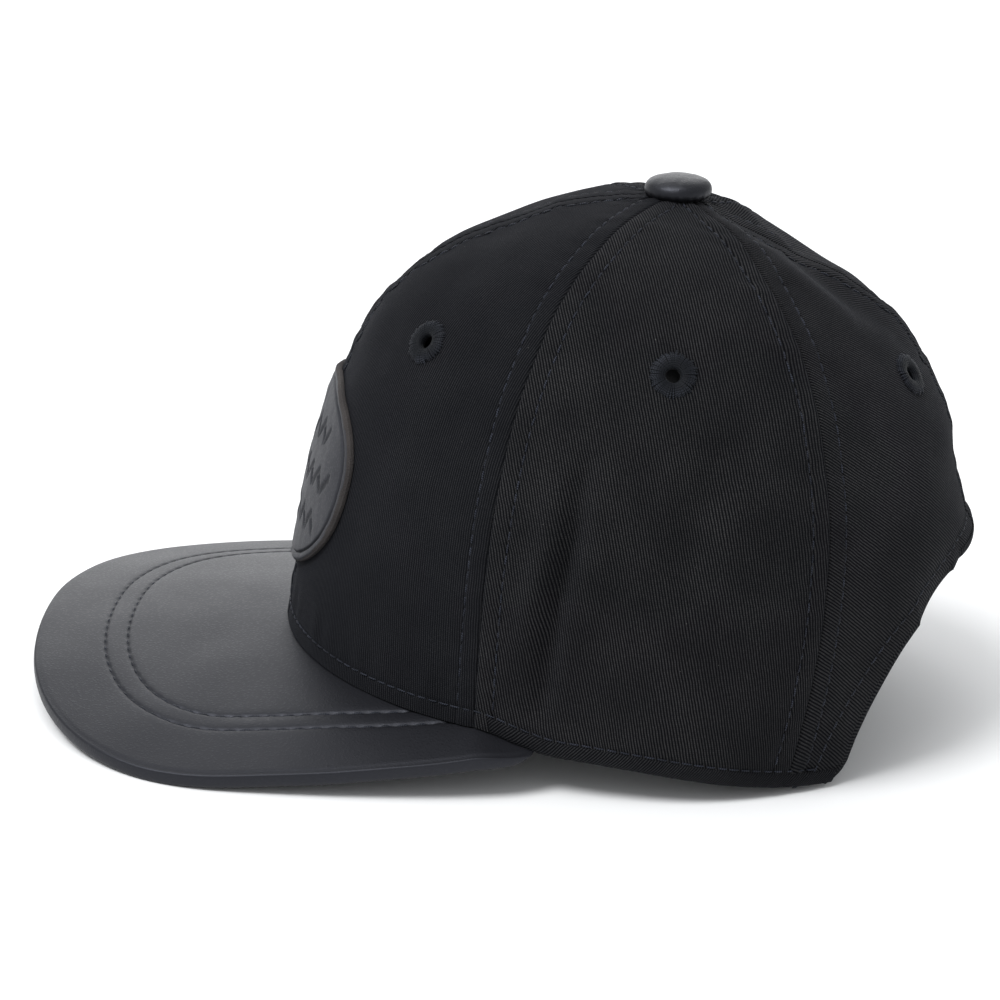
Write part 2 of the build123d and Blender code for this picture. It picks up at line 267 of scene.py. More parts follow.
# Each fold is a path of (azimuth, rise) on the crown, with its depth (inward) and half width.
# The broad ones are where the crown is flatter or fuller than a plain dome.
broad_fold = 8.0
folds = (
    (((80.0, 0.335), (78.7, 0.263), (78.9, 0.202), (77.4, 0.115), (76.0, 0.01)), 3.7, 3.2),
    (((75.6, 0.27), (74.8, 0.175), (72.3, 0.06)), -1.8, 3.6),
    (((84.5, 0.32), (83.5, 0.2), (82.0, 0.1)), -0.9, 5.0),
    (((-54.0, 0.34), (0.0, 0.35), (54.0, 0.34)), -1.5, 13.0),
    (((-54.0, 0.66), (0.0, 0.68), (54.0, 0.66)), 1.9, 14.0),
    (((160.0, 0.66), (180.0, 0.63), (200.0, 0.66)), 1.4, 10.0),
    (((165.0, 0.42), (180.0, 0.44), (195.0, 0.42)), -1.5, 9.0),
    (((148.0, 0.185), (180.0, 0.185), (212.0, 0.185)), 2.2, 10.0),
    (((102.0, 0.37), (99.5, 0.27), (96.0, 0.16)), 1.8, 6.5),
    (((108.0, 0.35), (105.0, 0.22)), -0.8, 7.0),
    (((150.0, 0.82), (168.0, 0.69), (161.0, 0.62), (160.0, 0.54), (166.0, 0.44)), 3.0, 8.5),
    (((131.0, 0.86), (129.6, 0.748), (134.5, 0.661), (143.7, 0.585), (152.8, 0.512)), -1.3, 6.0),
    (((-79.5, 0.3), (-78.0, 0.19), (-77.0, 0.08)), 1.7, 6.0),
    (((-84.5, 0.28), (-82.0, 0.15)), -0.7, 7.0),
    (((-104.0, 0.34), (-98.0, 0.22)), 1.2, 9.0),
    (((-152.0, 0.78), (-163.0, 0.64), (-157.0, 0.52)), 2.4, 9.0),
    (((-120.0, 0.8), (-138.0, 0.63), (-160.0, 0.42)), 0.9, 9.0),
    (((24.0, 0.56), (42.0, 0.43)), 0.6, 9.0),
    (((32.0, 0.03), (36.0, 0.19), (36.0, 0.42)), 0.7, 17.0),
    (((-32.0, 0.03), (-36.0, 0.19), (-36.0, 0.42)), 0.7, 17.0),
    (((164.0, 0.09), (180.0, 0.092), (196.0, 0.09)), -2.4, 6.5),
    (((146.0, 0.072), (160.0, 0.084)), 1.8, 7.5),
    (((-146.0, 0.072), (-160.0, 0.084)), 1.8, 7.5),
    (((10.0, 0.3), (-18.0, 0.46), (-36.0, 0.64), (-64.0, 0.8)), 0.9, 9.0),
    (((140.0, 0.88), (168.0, 0.8), (200.0, 0.72)), 2.4, 13.0),
    (((-20.0, 0.52), (-44.0, 0.47)), 0.5, 10.0),
)


def to_path(points, path):
    """Distance of each point from a path, and how far along the path it is, from 0 to 1."""
    best = np.full(points.shape[:-1], 1e9)
    along = np.zeros(points.shape[:-1])
    starts = lengths_along(path)
    for a, b, start, run in zip(path, path[1:], starts, np.diff(starts)):
        t = np.clip((points - a) @ (b - a) / run**2, 0, 1)
        gap = np.linalg.norm(points - a - t[..., None] * (b - a), axis=-1)
        nearer = gap < best
        best = np.where(nearer, gap, best)
        along = np.where(nearer, (start + t * run) / starts[-1], along)
    return best, along


def fold_path(places):
    """Smooth path on the crown through a few places."""
    azimuths, rises = np.radians([p[0] for p in places]), np.array([p[1] for p in places])
    t = np.linspace(0, 1, len(places))
    fine = np.linspace(0, 1, 24)
    return crown_point(np.interp(fine, t, azimuths), np.interp(fine, t, rises))


fold_paths = [(fold_path(places), depth, width) for places, depth, width in folds]


def waver(points, amount, length):
    """Slow uneven swell over a surface, from a few waves that don't repeat together."""
    x, y, z = (points[..., i] * 2 * pi / length for i in range(3))
    swell = np.sin(x + 1.3 * y) + np.sin(1.7 * z - 0.6 * x + 1.0) + np.sin(0.9 * y + 1.2 * z + 2.3)
    swell = swell + 0.6 * np.sin(2.1 * x - 1.9 * z + 0.4) + 0.6 * np.sin(2.3 * y + 1.4 * x + 4.0)
    return amount * swell / 2.2


def drape(phi, rise):
    """How far the cloth stands outside the plain crown, in broad folds."""
    points = crown_point(phi, rise)
    out = waver(points, 0.28, 46.0) * smooth(rise / 0.1)
    for path, depth, width in fold_paths:
        gap, along = to_path(points, path)
        ends = np.clip(4 * along * (1 - along), 0, 1) ** (0.6 if width < broad_fold else 1.5)
        out = out - depth * hump(gap, width) * ends
    return out


def on_cloth(phi, rise, lift=0.0):
    """Point this far outside the draped crown."""
    return off_crown(phi, rise, drape(phi, rise) + lift)


def puckers(run, near, seed):
    """Small gathers along a stitched seam, fading away from it."""
    wave = np.sin(2 * pi * run / 9.3 + seed) + 0.8 * np.sin(2 * pi * run / 6.1 + 2 * seed)
    wave = wave + 0.7 * np.sin(2 * pi * run / 14.7 + 3 * seed)
    return 0.13 * wave * hump(near - seam_row, 4.5)


def seam_relief(near, run, seed):
    """Height of the cloth beside a seam, near millimetres from it and run along it."""
    allowance = 0.20 * (1 - smooth((near - 4.6) / 1.4))
    belly = 0.16 * np.sin(pi * np.clip(near / seam_row, 0, 1))
    row = -0.26 * hump(near - seam_row, 0.42)
    valley = -0.40 * hump(near, 0.38)
    return allowance + belly + row + valley + puckers(run, near, seed)


def base_relief(run, phi):
    """Height of the cloth beside the row of stitches above the base."""
    pull = -0.30 * hump(run - base_row, 0.6)
    gather = 0.16 * np.sin(phi * 47) + 0.12 * np.sin(phi * 71 + 1)
    return pull + gather * hump(run - 9.0, 5.0)


def flare(z):
    """How much further apart the two lower corners of the arch are at this height."""
    return arch_flare * np.clip(1 - z / 7.0, 0, 1) ** 2


def arch_gap(points):
    """Distance of the crown's points from the edge of the rear arch, negative inside it."""
    z = np.maximum(points[..., 2], 0)
    x = np.maximum(np.abs(points[..., 0]) - flare(z), 0)
    value = (x / arch_half_width) ** arch_roundness + (z / arch_height) ** arch_roundness
    slope_x = arch_roundness * (x / arch_half_width) ** (arch_roundness - 1) / arch_half_width
    slope_z = arch_roundness * (z / arch_height) ** (arch_roundness - 1) / arch_height
    gap = (value - 1) / np.maximum(np.hypot(slope_x, slope_z), 1e-3)
    return np.where(points[..., 1] > 0, gap, 99.0), value


def arch_relief(gap):
    """Height of the cloth beside the edge of the rear arch."""
    allowance = 0.35 * (1 - smooth((gap - arch_row + 0.3) / 1.2))
    return allowance - 0.35 * hump(gap - arch_row, 0.9)


# ---- Meshes

def circle(count):
    """Evenly spaced turns, once round."""
    return np.arange(count) * 2 * pi / count


def pairs(across, along):
    """Grid of pairs from two arrays that broadcast together."""
    return np.stack(np.broadcast_arrays(across, along), -1)


def turned(across, along, slant):
    """Place on a cut that lies at a slant to the cloth's own threads."""
    return pairs(across * cos(slant) + along * sin(slant), along * cos(slant) - across * sin(slant))


def along_line(where, reach, points):
    """Points of a line at these lengths from its start."""
    return np.stack([np.interp(where, reach, column) for column in points.T], -1)


def touched(hit):
    """Cells of a grid of points that have any corner hit."""
    return hit[:-1, :-1] | hit[1:, :-1] | hit[1:, 1:] | hit[:-1, 1:]


def cells(n, m, round_n=False, round_m=False):
    """Quads of an n by m grid of points."""
    rows, columns = np.arange(n if round_n else n - 1), np.arange(m if round_m else m - 1)
    i, j = np.meshgrid(rows, columns, indexing="ij")
    ahead, above = (i + 1) % n, (j + 1) % m
    return np.stack([i * m + j, ahead * m + j, ahead * m + above, i * m + above], -1).reshape(-1, 4)


def thread_faces(n):
    """Quads of a six-sided thread with n rings and closed ends."""
    caps = np.array([[0, 1, 2, 3], [0, 3, 4, 5]])
    return np.concatenate([cells(n, 6, round_m=True), caps[:, ::-1], caps + (n - 1) * 6])


def make(name, points, faces, material, grain=None, merge=False):
    """Object from points in millimetres and faces, its flat cut in the UV map grain."""
    points = np.asarray(points, float).reshape(-1, 3)
    used, faces = np.unique(np.asarray(faces), return_inverse=True)
    faces = faces.reshape(-1, 4)
    mesh = bpy.data.meshes.new(name)
    mesh.from_pydata((points[used] * MM).tolist(), [], faces.tolist())
    if grain is not None:
        flat = np.asarray(grain, float).reshape(-1, 2)[used]
        corners = np.empty(len(mesh.loops), int)
        mesh.loops.foreach_get("vertex_index", corners)
        mesh.uv_layers.new(name="grain").data.foreach_set("uv", flat[corners].ravel())
    if merge:
        grown = bmesh.new()
        grown.from_mesh(mesh)
        bmesh.ops.remove_doubles(grown, verts=grown.verts, dist=2e-6)
        bmesh.ops.dissolve_degenerate(grown, edges=grown.edges, dist=1e-6)
        grown.to_mesh(mesh)
        grown.free()
    mesh.shade_smooth()
    mesh.set_sharp_from_angle(angle=radians(55))
    mesh.materials.append(material)
    obj = bpy.data.objects.new(name, mesh)
    bpy.context.scene.collection.objects.link(obj)
    return obj


def closed_sheet(name, outer, inner, material, grain=None, keep=None, merge=False):
    """Closed sheet between two grids of points, without the cells that keep leaves out."""
    n, m = outer.shape[:2]
    count = n * m
    quads = cells(n, m)
    if keep is not None:
        quads = quads[keep.ravel()]
    edges = np.stack([quads.ravel(), np.roll(quads, -1, axis=1).ravel()], -1)
    forward = edges[:, 0] * count + edges[:, 1]
    backward = edges[:, 1] * count + edges[:, 0]
    rim = edges[~np.isin(backward, forward)]
    walls = np.stack([rim[:, 1], rim[:, 0], rim[:, 0] + count, rim[:, 1] + count], -1)
    faces = np.concatenate([quads, quads[:, ::-1] + count, walls])
    points = np.concatenate([outer.reshape(-1, 3), inner.reshape(-1, 3)])
    if grain is not None:
        grain = np.concatenate([grain.reshape(-1, 2)] * 2)
    return make(name, points, faces, material, grain, merge)


def sheet_area(points):
    """Area in square metres of a grid of points."""
    a = np.cross(points[1:, :-1] - points[:-1, :-1], points[1:, 1:] - points[:-1, :-1])
    b = np.cross(points[1:, 1:] - points[:-1, :-1], points[:-1, 1:] - points[:-1, :-1])
    return float((np.linalg.norm(a, axis=-1) + np.linalg.norm(b, axis=-1)).sum() / 2) * MM * MM


def grid_size(points):
    """Greatest width and length of a grid of points, in metres."""
    across = np.linalg.norm(np.diff(points, axis=0), axis=-1).sum(0).max()
    along = np.linalg.norm(np.diff(points, axis=1), axis=-1).sum(1).max()
    return float(across) * MM, float(along) * MM


def cloth(points, share=1.0):
    """Work out the size and area of a sheet whose cut is the grid of points, or this share of it; nothing is
    done with them.
    """
    width, length = grid_size(points)
    area = min(sheet_area(points) * share, width * length)


def settle(obj, slot, *replaced):
    """Ride on the cap and stand for CAD nodes, which are hidden; the slot is not used."""
    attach(obj, "cap")
    if replaced:
        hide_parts(*replaced)


def stitches(name, rows, pitch, length, radius, material, sink=0.16):
    """Row after row of short threads, each dipping into the cloth at both ends."""
    places, alongs, ups = [], [], []
    for points, normals in rows:
        reach = lengths_along(points)
        middles = np.arange(pitch / 2, reach[-1] - length / 2, pitch)
        before, at, after = (along_line(middles + k * length / 2, reach, points) for k in (-1, 0, 1))
        places.append(at)
        alongs.append(unit(after - before))
        ups.append(unit(along_line(middles, reach, normals)))
    at, along, up = (np.concatenate(parts) for parts in (places, alongs, ups))
    side = unit(np.cross(up, along))
    along = unit(along + side * rng.normal(0, 0.045, (len(at), 1)))
    stretch = 1 + rng.normal(0, 0.04, (len(at), 1, 1, 1))
    side, along, up = (v[:, None, None] for v in (np.cross(up, along), along, up))
    # Each thread is a tube of rings at these shares of its length, thinner towards both ends
    stations = np.array([-0.50, -0.47, -0.38, -0.18, 0.18, 0.38, 0.47, 0.50])[:, None, None]
    girth = np.array([0.30, 0.62, 0.90, 1.0, 1.0, 0.90, 0.62, 0.30])[:, None, None] * radius
    turns = circle(6)[:, None]
    dip = 0.8 * sink * (1 - np.cos(2 * pi * stations))
    ring = girth * (np.cos(turns) * side + 0.8 * np.sin(turns) * up)
    points = at[:, None, None] + stations * length * along * stretch - dip * up + ring
    count = np.arange(len(at))[:, None, None]
    faces = thread_faces(len(stations))[:, ::-1] + count * len(stations) * 6
    grain = pairs(stations[..., 0] * length + count * 1.7, circle(6) * radius)
    return make(name, points, faces.reshape(-1, 4), material, grain)


def closed_sweep(name, points, material, grain):
    """Closed solid from a grid whose second direction goes all the way round."""
    n, m = points.shape[:2]
    lids = np.array([[k, k + 1, m - 2 - k, m - 1 - k] for k in range(m // 2 - 1)])
    faces = np.concatenate([cells(n, m, round_m=True), lids[:, ::-1], lids + (n - 1) * m])
    return make(name, points, faces, material, grain)


# ---- Materials

class Value:
    """Output of a node, so that sums and products of outputs can be written as formulas."""

    def __init__(self, shader, socket):
        self.shader, self.socket = shader, socket

    def __add__(self, other):
        return self.shader.math("ADD", self, other)

    def __sub__(self, other):
        return self.shader.math("SUBTRACT", self, other)

    def __rsub__(self, other):
        return self.shader.math("SUBTRACT", other, self)

    def __mul__(self, other):
        return self.shader.math("MULTIPLY", self, other)


class Shader:
    """Short way to build a node tree; numbers and colours go on the sockets they are for."""

    def __init__(self, name):
        self.material = bpy.data.materials.new(name)
        self.material.use_nodes = True
        self.tree = self.material.node_tree
        self.tree.nodes.clear()
        self.body = self.tree.nodes.new("ShaderNodeBsdfPrincipled")
        out = self.tree.nodes.new("ShaderNodeOutputMaterial")
        self.tree.links.new(self.body.outputs["BSDF"], out.inputs["Surface"])

    def put(self, socket, value):
        """Link a socket to another one, or set its number or colour."""
        if isinstance(value, Value):
            self.tree.links.new(value.socket, socket)
        elif socket.type == "RGBA" and len(value) == 3:
            socket.default_value = (*value, 1.0)
        else:
            socket.default_value = value

    def node(self, kind, output, *values, settings=None, **named):
        """Output of a new node whose inputs are given by place or by name."""
        node = self.tree.nodes.new("ShaderNode" + kind)
        for key, value in (settings or {}).items():
            setattr(node, key, value)
        for socket, value in zip(node.inputs, values):
            self.put(socket, value)
        for key, value in named.items():
            self.put(node.inputs[key], value)
        return Value(self, node.outputs[output])

    def math(self, operation, *values):
        return self.node("Math", 0, *values, settings={"operation": operation})

    def sine(self, value):
        return self.math("SINE", value)

    def vector(self, operation, *values):
        return self.node("VectorMath", 0, *values, settings={"operation": operation})
        node.operation = operation
        return self.put(node, **{f"i{i}": value for i, value in enumerate(values)}).outputs[0]

    def grain(self):
        """The flat cut in millimetres, across and along."""
        return self.node("UVMap", "UV", settings={"uv_map": "grain"})

    def place(self):
        """The place in the frame in millimetres."""
        return self.vector("MULTIPLY", self.node("TexCoord", "Object"), (1 / MM, 1 / MM, 1 / MM))

    def split(self, vector):
        """First and second number of a vector."""
        node = self.tree.nodes.new("ShaderNodeSeparateXYZ")
        self.put(node.inputs[0], vector)
        return Value(self, node.outputs[0]), Value(self, node.outputs[1])

    def noise(self, vector, size, detail=2.0, rough=0.5):
        """Noise with features of this size in millimetres."""
        return self.node("TexNoise", "Fac", Vector=vector, Scale=1 / size, Detail=detail, Roughness=rough)

    def bend(self, vector, size, amount):
        """Vector moved about by slow noise with features of this size."""
        noise = self.node("TexNoise", "Color", Vector=vector, Scale=1 / size, Detail=1.0)
        shift = self.vector("SUBTRACT", noise, (0.5, 0.5, 0.5))
        return self.vector("ADD", vector, self.vector("MULTIPLY", shift, (amount, amount, amount)))

    def cells(self, vector, size):
        """Distance from the middles of scattered cells of this size in millimetres."""
        return self.node("TexVoronoi", "Distance", Vector=vector, Scale=1 / size)

    def ramp(self, value, low, high, start=0.0, end=1.0):
        """Value carried from the range low to high to start to end, smoothly."""
        smoothly = {"interpolation_type": "SMOOTHSTEP"}
        return self.node("MapRange", 0, value, low, high, start, end, settings=smoothly)

    def mix(self, share, a, b):
        """Colour between a and b."""
        node = self.tree.nodes.new("ShaderNodeMix")
        node.data_type = "RGBA"
        for index, value in ((0, share), (6, a), (7, b)):
            self.put(node.inputs[index], value)
        return Value(self, node.outputs[2])

    def bump(self, height, depth):
        """Normal from a height from 0 to 1, depth millimetres deep."""
        return self.node("Bump", "Normal", Height=height, Distance=depth * MM, Strength=1.0)

    def finish(self, color, roughness, normal=None, **plain):
        """Set the surface; plain numbers and colours go straight on the shader's sockets."""
        if normal is not None:
            plain["Normal"] = normal
        for key, value in {"Base_Color": color, "Roughness": roughness, **plain}.items():
            self.put(self.body.inputs[key.replace("_", " ")], value)
        return self.material


def twill(name, pitch=0.78, dark=(0.0018, 0.0020, 0.0028), light=(0.052, 0.051, 0.052), lint=True):
    """Black cotton twill: slanting wales of short floats, their tops painted lighter as a painted highlight
    with some dust, and a few specks of lint.
    """
    s = Shader(name)
    cut = s.grain()
    across, along = s.split(cut)
    wale_place = across + (s.noise(cut, 6.0, 3.0) - 0.5) * 0.5
    wale = s.ramp(s.sine(wale_place * (2 * pi / pitch)), -0.7, 0.9)
    stagger = s.math("FLOOR", s.math("DIVIDE", wale_place, pitch)) * 0.31
    floats = s.math("ABSOLUTE", s.sine((along * (1 / 0.62) + stagger) * pi))
    yarn = wale * (floats * 0.45 + 0.55)
    broad = s.noise(s.place(), 26.0, 3.0, 0.6)
    # The tops of the wales are painted lighter: a painted highlight, partly dust on the threads, varied by
    # broad noise.
    painted_highlight_and_dust = yarn * (s.noise(cut, 0.9, 2.0) + 0.15) * s.ramp(broad, 0.25, 0.8, 0.55, 1.15)
    color = s.mix(painted_highlight_and_dust, dark, light)
    if lint:
        speck = s.ramp(s.cells(cut, 5.2), 0.0, 0.045, 1.0, 0.0)
        some = s.ramp(s.noise(cut, 9.0, 1.0), 0.55, 0.62)
        color = s.mix(speck * some * 0.75, color, (0.16, 0.155, 0.15))
    height = yarn + s.noise(cut, 0.22, 1.0) * 0.35
    return s.finish(
        color, s.ramp(yarn, 0.0, 1.0, 0.98, 0.80), s.bump(height, 0.16), Specular_IOR_Level=0.07,
        Sheen_Weight=0.025, Sheen_Roughness=0.5, Sheen_Tint=(0.75, 0.80, 1.0, 1.0),
    )


def leather(name, dark, light, gloss, grain=0.95, relief=0.07, worn=0.5, stained=False):
    """Pebbled leather: small cells with creases between them, and soft patches of wear.

    Where it is stained, the second number of the map grain says how dark the pressing left it.
    """
    s = Shader(name)
    place = s.place()
    bend = s.bend(place, 2.5, 0.8)
    pebble = s.ramp(s.cells(bend, grain), 0.05, 0.55)
    fine = s.ramp(s.cells(bend, grain * 0.42), 0.05, 0.6)
    broad = s.noise(place, 31.0, 3.0, 0.6)
    pore = s.ramp(s.noise(place, 0.35, 2.0), 0.3, 0.7)
    color = s.mix(s.ramp(broad, 0.3, 0.75) * worn, dark, light)
    # Creases between the pebbles are painted darker: painted shade in the creases.
    color = s.mix(pebble * 0.22, color, (0.004, 0.004, 0.0045))
    if stained:
        color = s.mix(s.split(s.grain())[1] * 0.85, color, (0.003, 0.003, 0.0035))
    height = 1.0 - (pebble * 0.7 + fine * 0.3) + pore * 0.25
    rough = s.ramp(broad, 0.25, 0.8, gloss - 0.02, gloss + 0.03) + pebble * 0.08
    return s.finish(
        color, rough, s.bump(height, relief), Specular_IOR_Level=0.42, Specular_Tint=(0.84, 0.87, 1.0, 1.0)
    )


def thread(name, dark, light, roughness=0.55, worn_ends_shaded_hole=False):
    """Sewing thread: two plies that twist around each other."""
    s = Shader(name)
    across, around_it = s.split(s.grain())
    ply = s.ramp(s.sine(across * (2 * pi / 0.62) + around_it * 3.7), -0.8, 0.8)
    tone = ply * s.ramp(s.noise(s.place(), 6.0, 1.0), 0.3, 0.7, 0.35, 1.0)
    # With this, the thread is painted darker from its outer end in towards the hole and through it: painted
    # shade of the hole; only the worn outer ends stay light.
    if worn_ends_shaded_hole:
        tone = tone * s.ramp(across, 0.5, 3.2, 1.0, 0.12)
    return s.finish(
        s.mix(tone, dark, light), roughness, s.bump(ply, 0.06),
        Specular_IOR_Level=0.15, Sheen_Weight=0.05, Sheen_Roughness=0.4,
    )


def weave(name, dark, light, pitch, relief=0.1, sheen=0.15):
    """Plain weave: one over, one under."""
    s = Shader(name)
    cut = s.grain()
    warp, weft = (s.sine(way * (pi / pitch)) for way in s.split(s.bend(cut, 4.0, 0.3)))
    height = s.ramp(warp * weft, -1.0, 1.0)
    color = s.mix(height * s.noise(cut, 1.1, 2.0), dark, light)
    return s.finish(color, 0.9, s.bump(height, relief), Sheen_Weight=sheen, Sheen_Roughness=0.5)


def moulded(name, dark, light, roughness, texture=0.45, relief=0.03):
    """Moulded plastic with a fine spark-eroded texture and faint handling marks."""
    s = Shader(name)
    place = s.place()
    skin = s.noise(place, texture, 3.0, 0.65)
    broad = s.noise(place, 22.0, 3.0, 0.6)
    rubbed = s.ramp(s.noise(place, 7.0, 4.0, 0.7), 0.5, 0.75)
    rough = s.ramp(broad, 0.2, 0.8, roughness - 0.06, roughness + 0.06) + rubbed * 0.07
    return s.finish(s.mix(s.ramp(broad, 0.3, 0.75), dark, light), rough, s.bump(skin, relief))


def foam(name, dark, light):
    """Closed-cell foam with a brushed cloth face."""
    s = Shader(name)
    place = s.place()
    nap = s.noise(place, 0.35, 3.0, 0.7)
    pores = s.ramp(s.cells(place, 0.7), 0.0, 0.6)
    color = s.mix(pores * s.ramp(nap, 0.3, 0.7, 0.5, 1.0), dark, light)
    return s.finish(color, 0.95, s.bump(pores + nap * 0.5, 0.12), Sheen_Weight=0.35, Sheen_Roughness=0.5)


def pile(name, dark, light):
    """Hook and loop pile."""
    s = Shader(name)
    place = s.place()
    loops = s.ramp(s.cells(place, 0.9), 0.1, 0.65)
    hair = s.noise(place, 0.3, 3.0, 0.7)
    return s.finish(s.mix(loops * hair, dark, light), 0.9, s.bump(loops + hair, 0.3), Sheen_Weight=0.3)


def metal(name):
    """Plated steel, brushed round and a little scratched."""
    s = Shader(name)
    place = s.place()
    brushed = s.noise(s.vector("MULTIPLY", place, (1.0, 1.0, 12.0)), 1.2, 4.0, 0.7)
    color = s.mix(s.ramp(s.noise(place, 3.0, 3.0), 0.3, 0.7), (0.42, 0.42, 0.44), (0.62, 0.62, 0.64))
    return s.finish(color, s.ramp(brushed, 0.2, 0.8, 0.22, 0.42), s.bump(brushed, 0.02), Metallic=1.0)


def satin(name):
    """Woven satin ribbon."""
    s = Shader(name)
    cut = s.grain()
    rib = s.ramp(s.sine(s.split(cut)[1] * (2 * pi / 0.35)), -1.0, 1.0)
    slub = s.noise(cut, 1.6, 2.0)
    color = s.mix(slub, (0.50, 0.50, 0.48), (0.68, 0.68, 0.66))
    return s.finish(color, s.ramp(slub, 0.2, 0.8, 0.35, 0.5), s.bump(rib, 0.03))


fabric = twill("cotton_twill")
# Painted shade: the front panels take a darker copy of the same twill, its wales also lower in contrast.
shaded_front_fabric = twill("front_twill_painted_shade", dark=(0.0035, 0.0038, 0.0050), light=(0.027, 0.027, 0.029))
hem_fabric = twill("hem_twill", pitch=0.62, light=(0.036, 0.036, 0.038), lint=False)
black_thread = thread("black_thread", (0.004, 0.005, 0.008), (0.034, 0.038, 0.054))
# Eyelet threads: painted shade, darker in towards the hole.
ring_thread = thread("ring_thread", (0.003, 0.004, 0.006), (0.030, 0.033, 0.044), 0.6, worn_ends_shaded_hole=True)
visor_thread = thread("visor_thread", (0.004, 0.005, 0.008), (0.030, 0.034, 0.048), 0.5)
tape_weave = weave("tape_weave", (0.012, 0.012, 0.014), (0.050, 0.050, 0.056), 0.5)
band_weave = weave("band_weave", (0.010, 0.010, 0.012), (0.045, 0.045, 0.050), 0.42, sheen=0.3)
mesh_weave = weave("mesh_weave", (0.30, 0.29, 0.26), (0.75, 0.74, 0.70), 0.8, relief=0.25)
visor_skin = leather(
    "visor_skin", (0.006, 0.006, 0.0075), (0.009, 0.009, 0.011), 0.42, relief=0.035, worn=0.35
)
patch_skin = leather(
    "patch_skin", (0.022, 0.022, 0.025), (0.034, 0.034, 0.038), 0.50, grain=0.8, relief=0.04, stained=True
)
patch_raw = leather(
    "patch_raw", (0.030, 0.025, 0.022), (0.085, 0.075, 0.068), 0.85, grain=0.5, relief=0.25, worn=0.9
)
button_skin = leather(
    "button_skin", (0.0030, 0.0030, 0.0036), (0.006, 0.006, 0.007), 0.37, grain=0.8, relief=0.04
)
board_plastic = moulded("board_plastic", (0.70, 0.70, 0.67), (0.80, 0.80, 0.78), 0.5)
strap_plastic = moulded("strap_plastic", (0.012, 0.012, 0.013), (0.020, 0.020, 0.021), 0.38)
shell_plastic = moulded(
    "shell_plastic", (0.020, 0.021, 0.023), (0.034, 0.035, 0.038), 0.42, texture=0.8, relief=0.06
)
pad_foam = foam("pad_foam", (0.035, 0.035, 0.038), (0.100, 0.100, 0.106))
band_foam = foam("band_foam", (0.16, 0.16, 0.17), (0.28, 0.28, 0.29))
fastener_pile = pile("fastener_pile", (0.010, 0.010, 0.010), (0.050, 0.050, 0.052))
rivet_metal = metal("rivet_metal")
label_satin = satin("label_satin")


# ---- Crown panels

# Offsets from a seam where the cloth needs its own lines of points
seam_lines = np.array([
    0.03, 0.16, 0.32, 0.5, 0.75, 1.1, 1.6, 2.4, 3.3, 4.1, 4.6, 4.9, 5.1, 5.3, 5.5, 5.75, 6.1, 6.7, 7.6, 8.9,
])
base_lines = np.array([0.35, 0.9, 1.8, 2.8, 3.8, 4.4, 4.8, 5.1, 5.4, 5.7, 6.1, 6.7, 7.6])
mean_length = float(meridians.lengths.mean())
mean_radius = 92.0
panel_cell = 1.5
row_shares = np.concatenate([base_lines / mean_length, np.linspace(9.0 / mean_length, 1, 132)])
eyelet_azimuths = np.radians([side * a for side in (1, -1) for a, _ in eyelet_places])
eyelet_rises = rise_at_height(eyelet_azimuths, np.array([h for _, h in eyelet_places] * 2))
eyelet_out = outward(eyelet_azimuths, eyelet_rises)
eyelet_at = on_cloth(eyelet_azimuths, eyelet_rises)


def seam_pull(width):
    """Share of their offset that rows keep where a panel this wide narrows to its apex."""
    return np.minimum(1.0, width / 2 / (seam_row + 1.6))


def panel_grid(start, end):
    """Azimuth, share and distance from each seam over the panel between two seams."""
    share = row_shares
    fast_start, fast_end = (speed(seam, meridians.rise(seam, share)) for seam in (start, end))
    width = (end - start) * (fast_start + fast_end) / 2
    pull = seam_pull(width)
    offsets = np.minimum(seam_lines[:, None] * pull, width / 2.05)
    left = start + offsets / fast_start
    right = (end - offsets / fast_end)[::-1]
    count = int((end - start) * mean_radius / panel_cell) - 12
    middle = left[-1] + (right[0] - left[-1]) * np.linspace(0, 1, count)[1:-1, None]
    phi = np.concatenate([left, middle, right])
    near_start = (phi - start) * fast_start / pull
    near_end = (end - phi) * fast_end / pull
    return phi, np.broadcast_to(share, phi.shape), near_start, near_end


def flat_cut(phi, rise, share, middle, slant):
    """Place on the flat cut in millimetres, turned so that its wales run along the second axis."""
    step = sideways(phi, rise)
    across = (phi - middle) * np.hypot(step[..., 0], step[..., 1])
    return turned(across, (share - 1) * meridians.length(phi), slant)


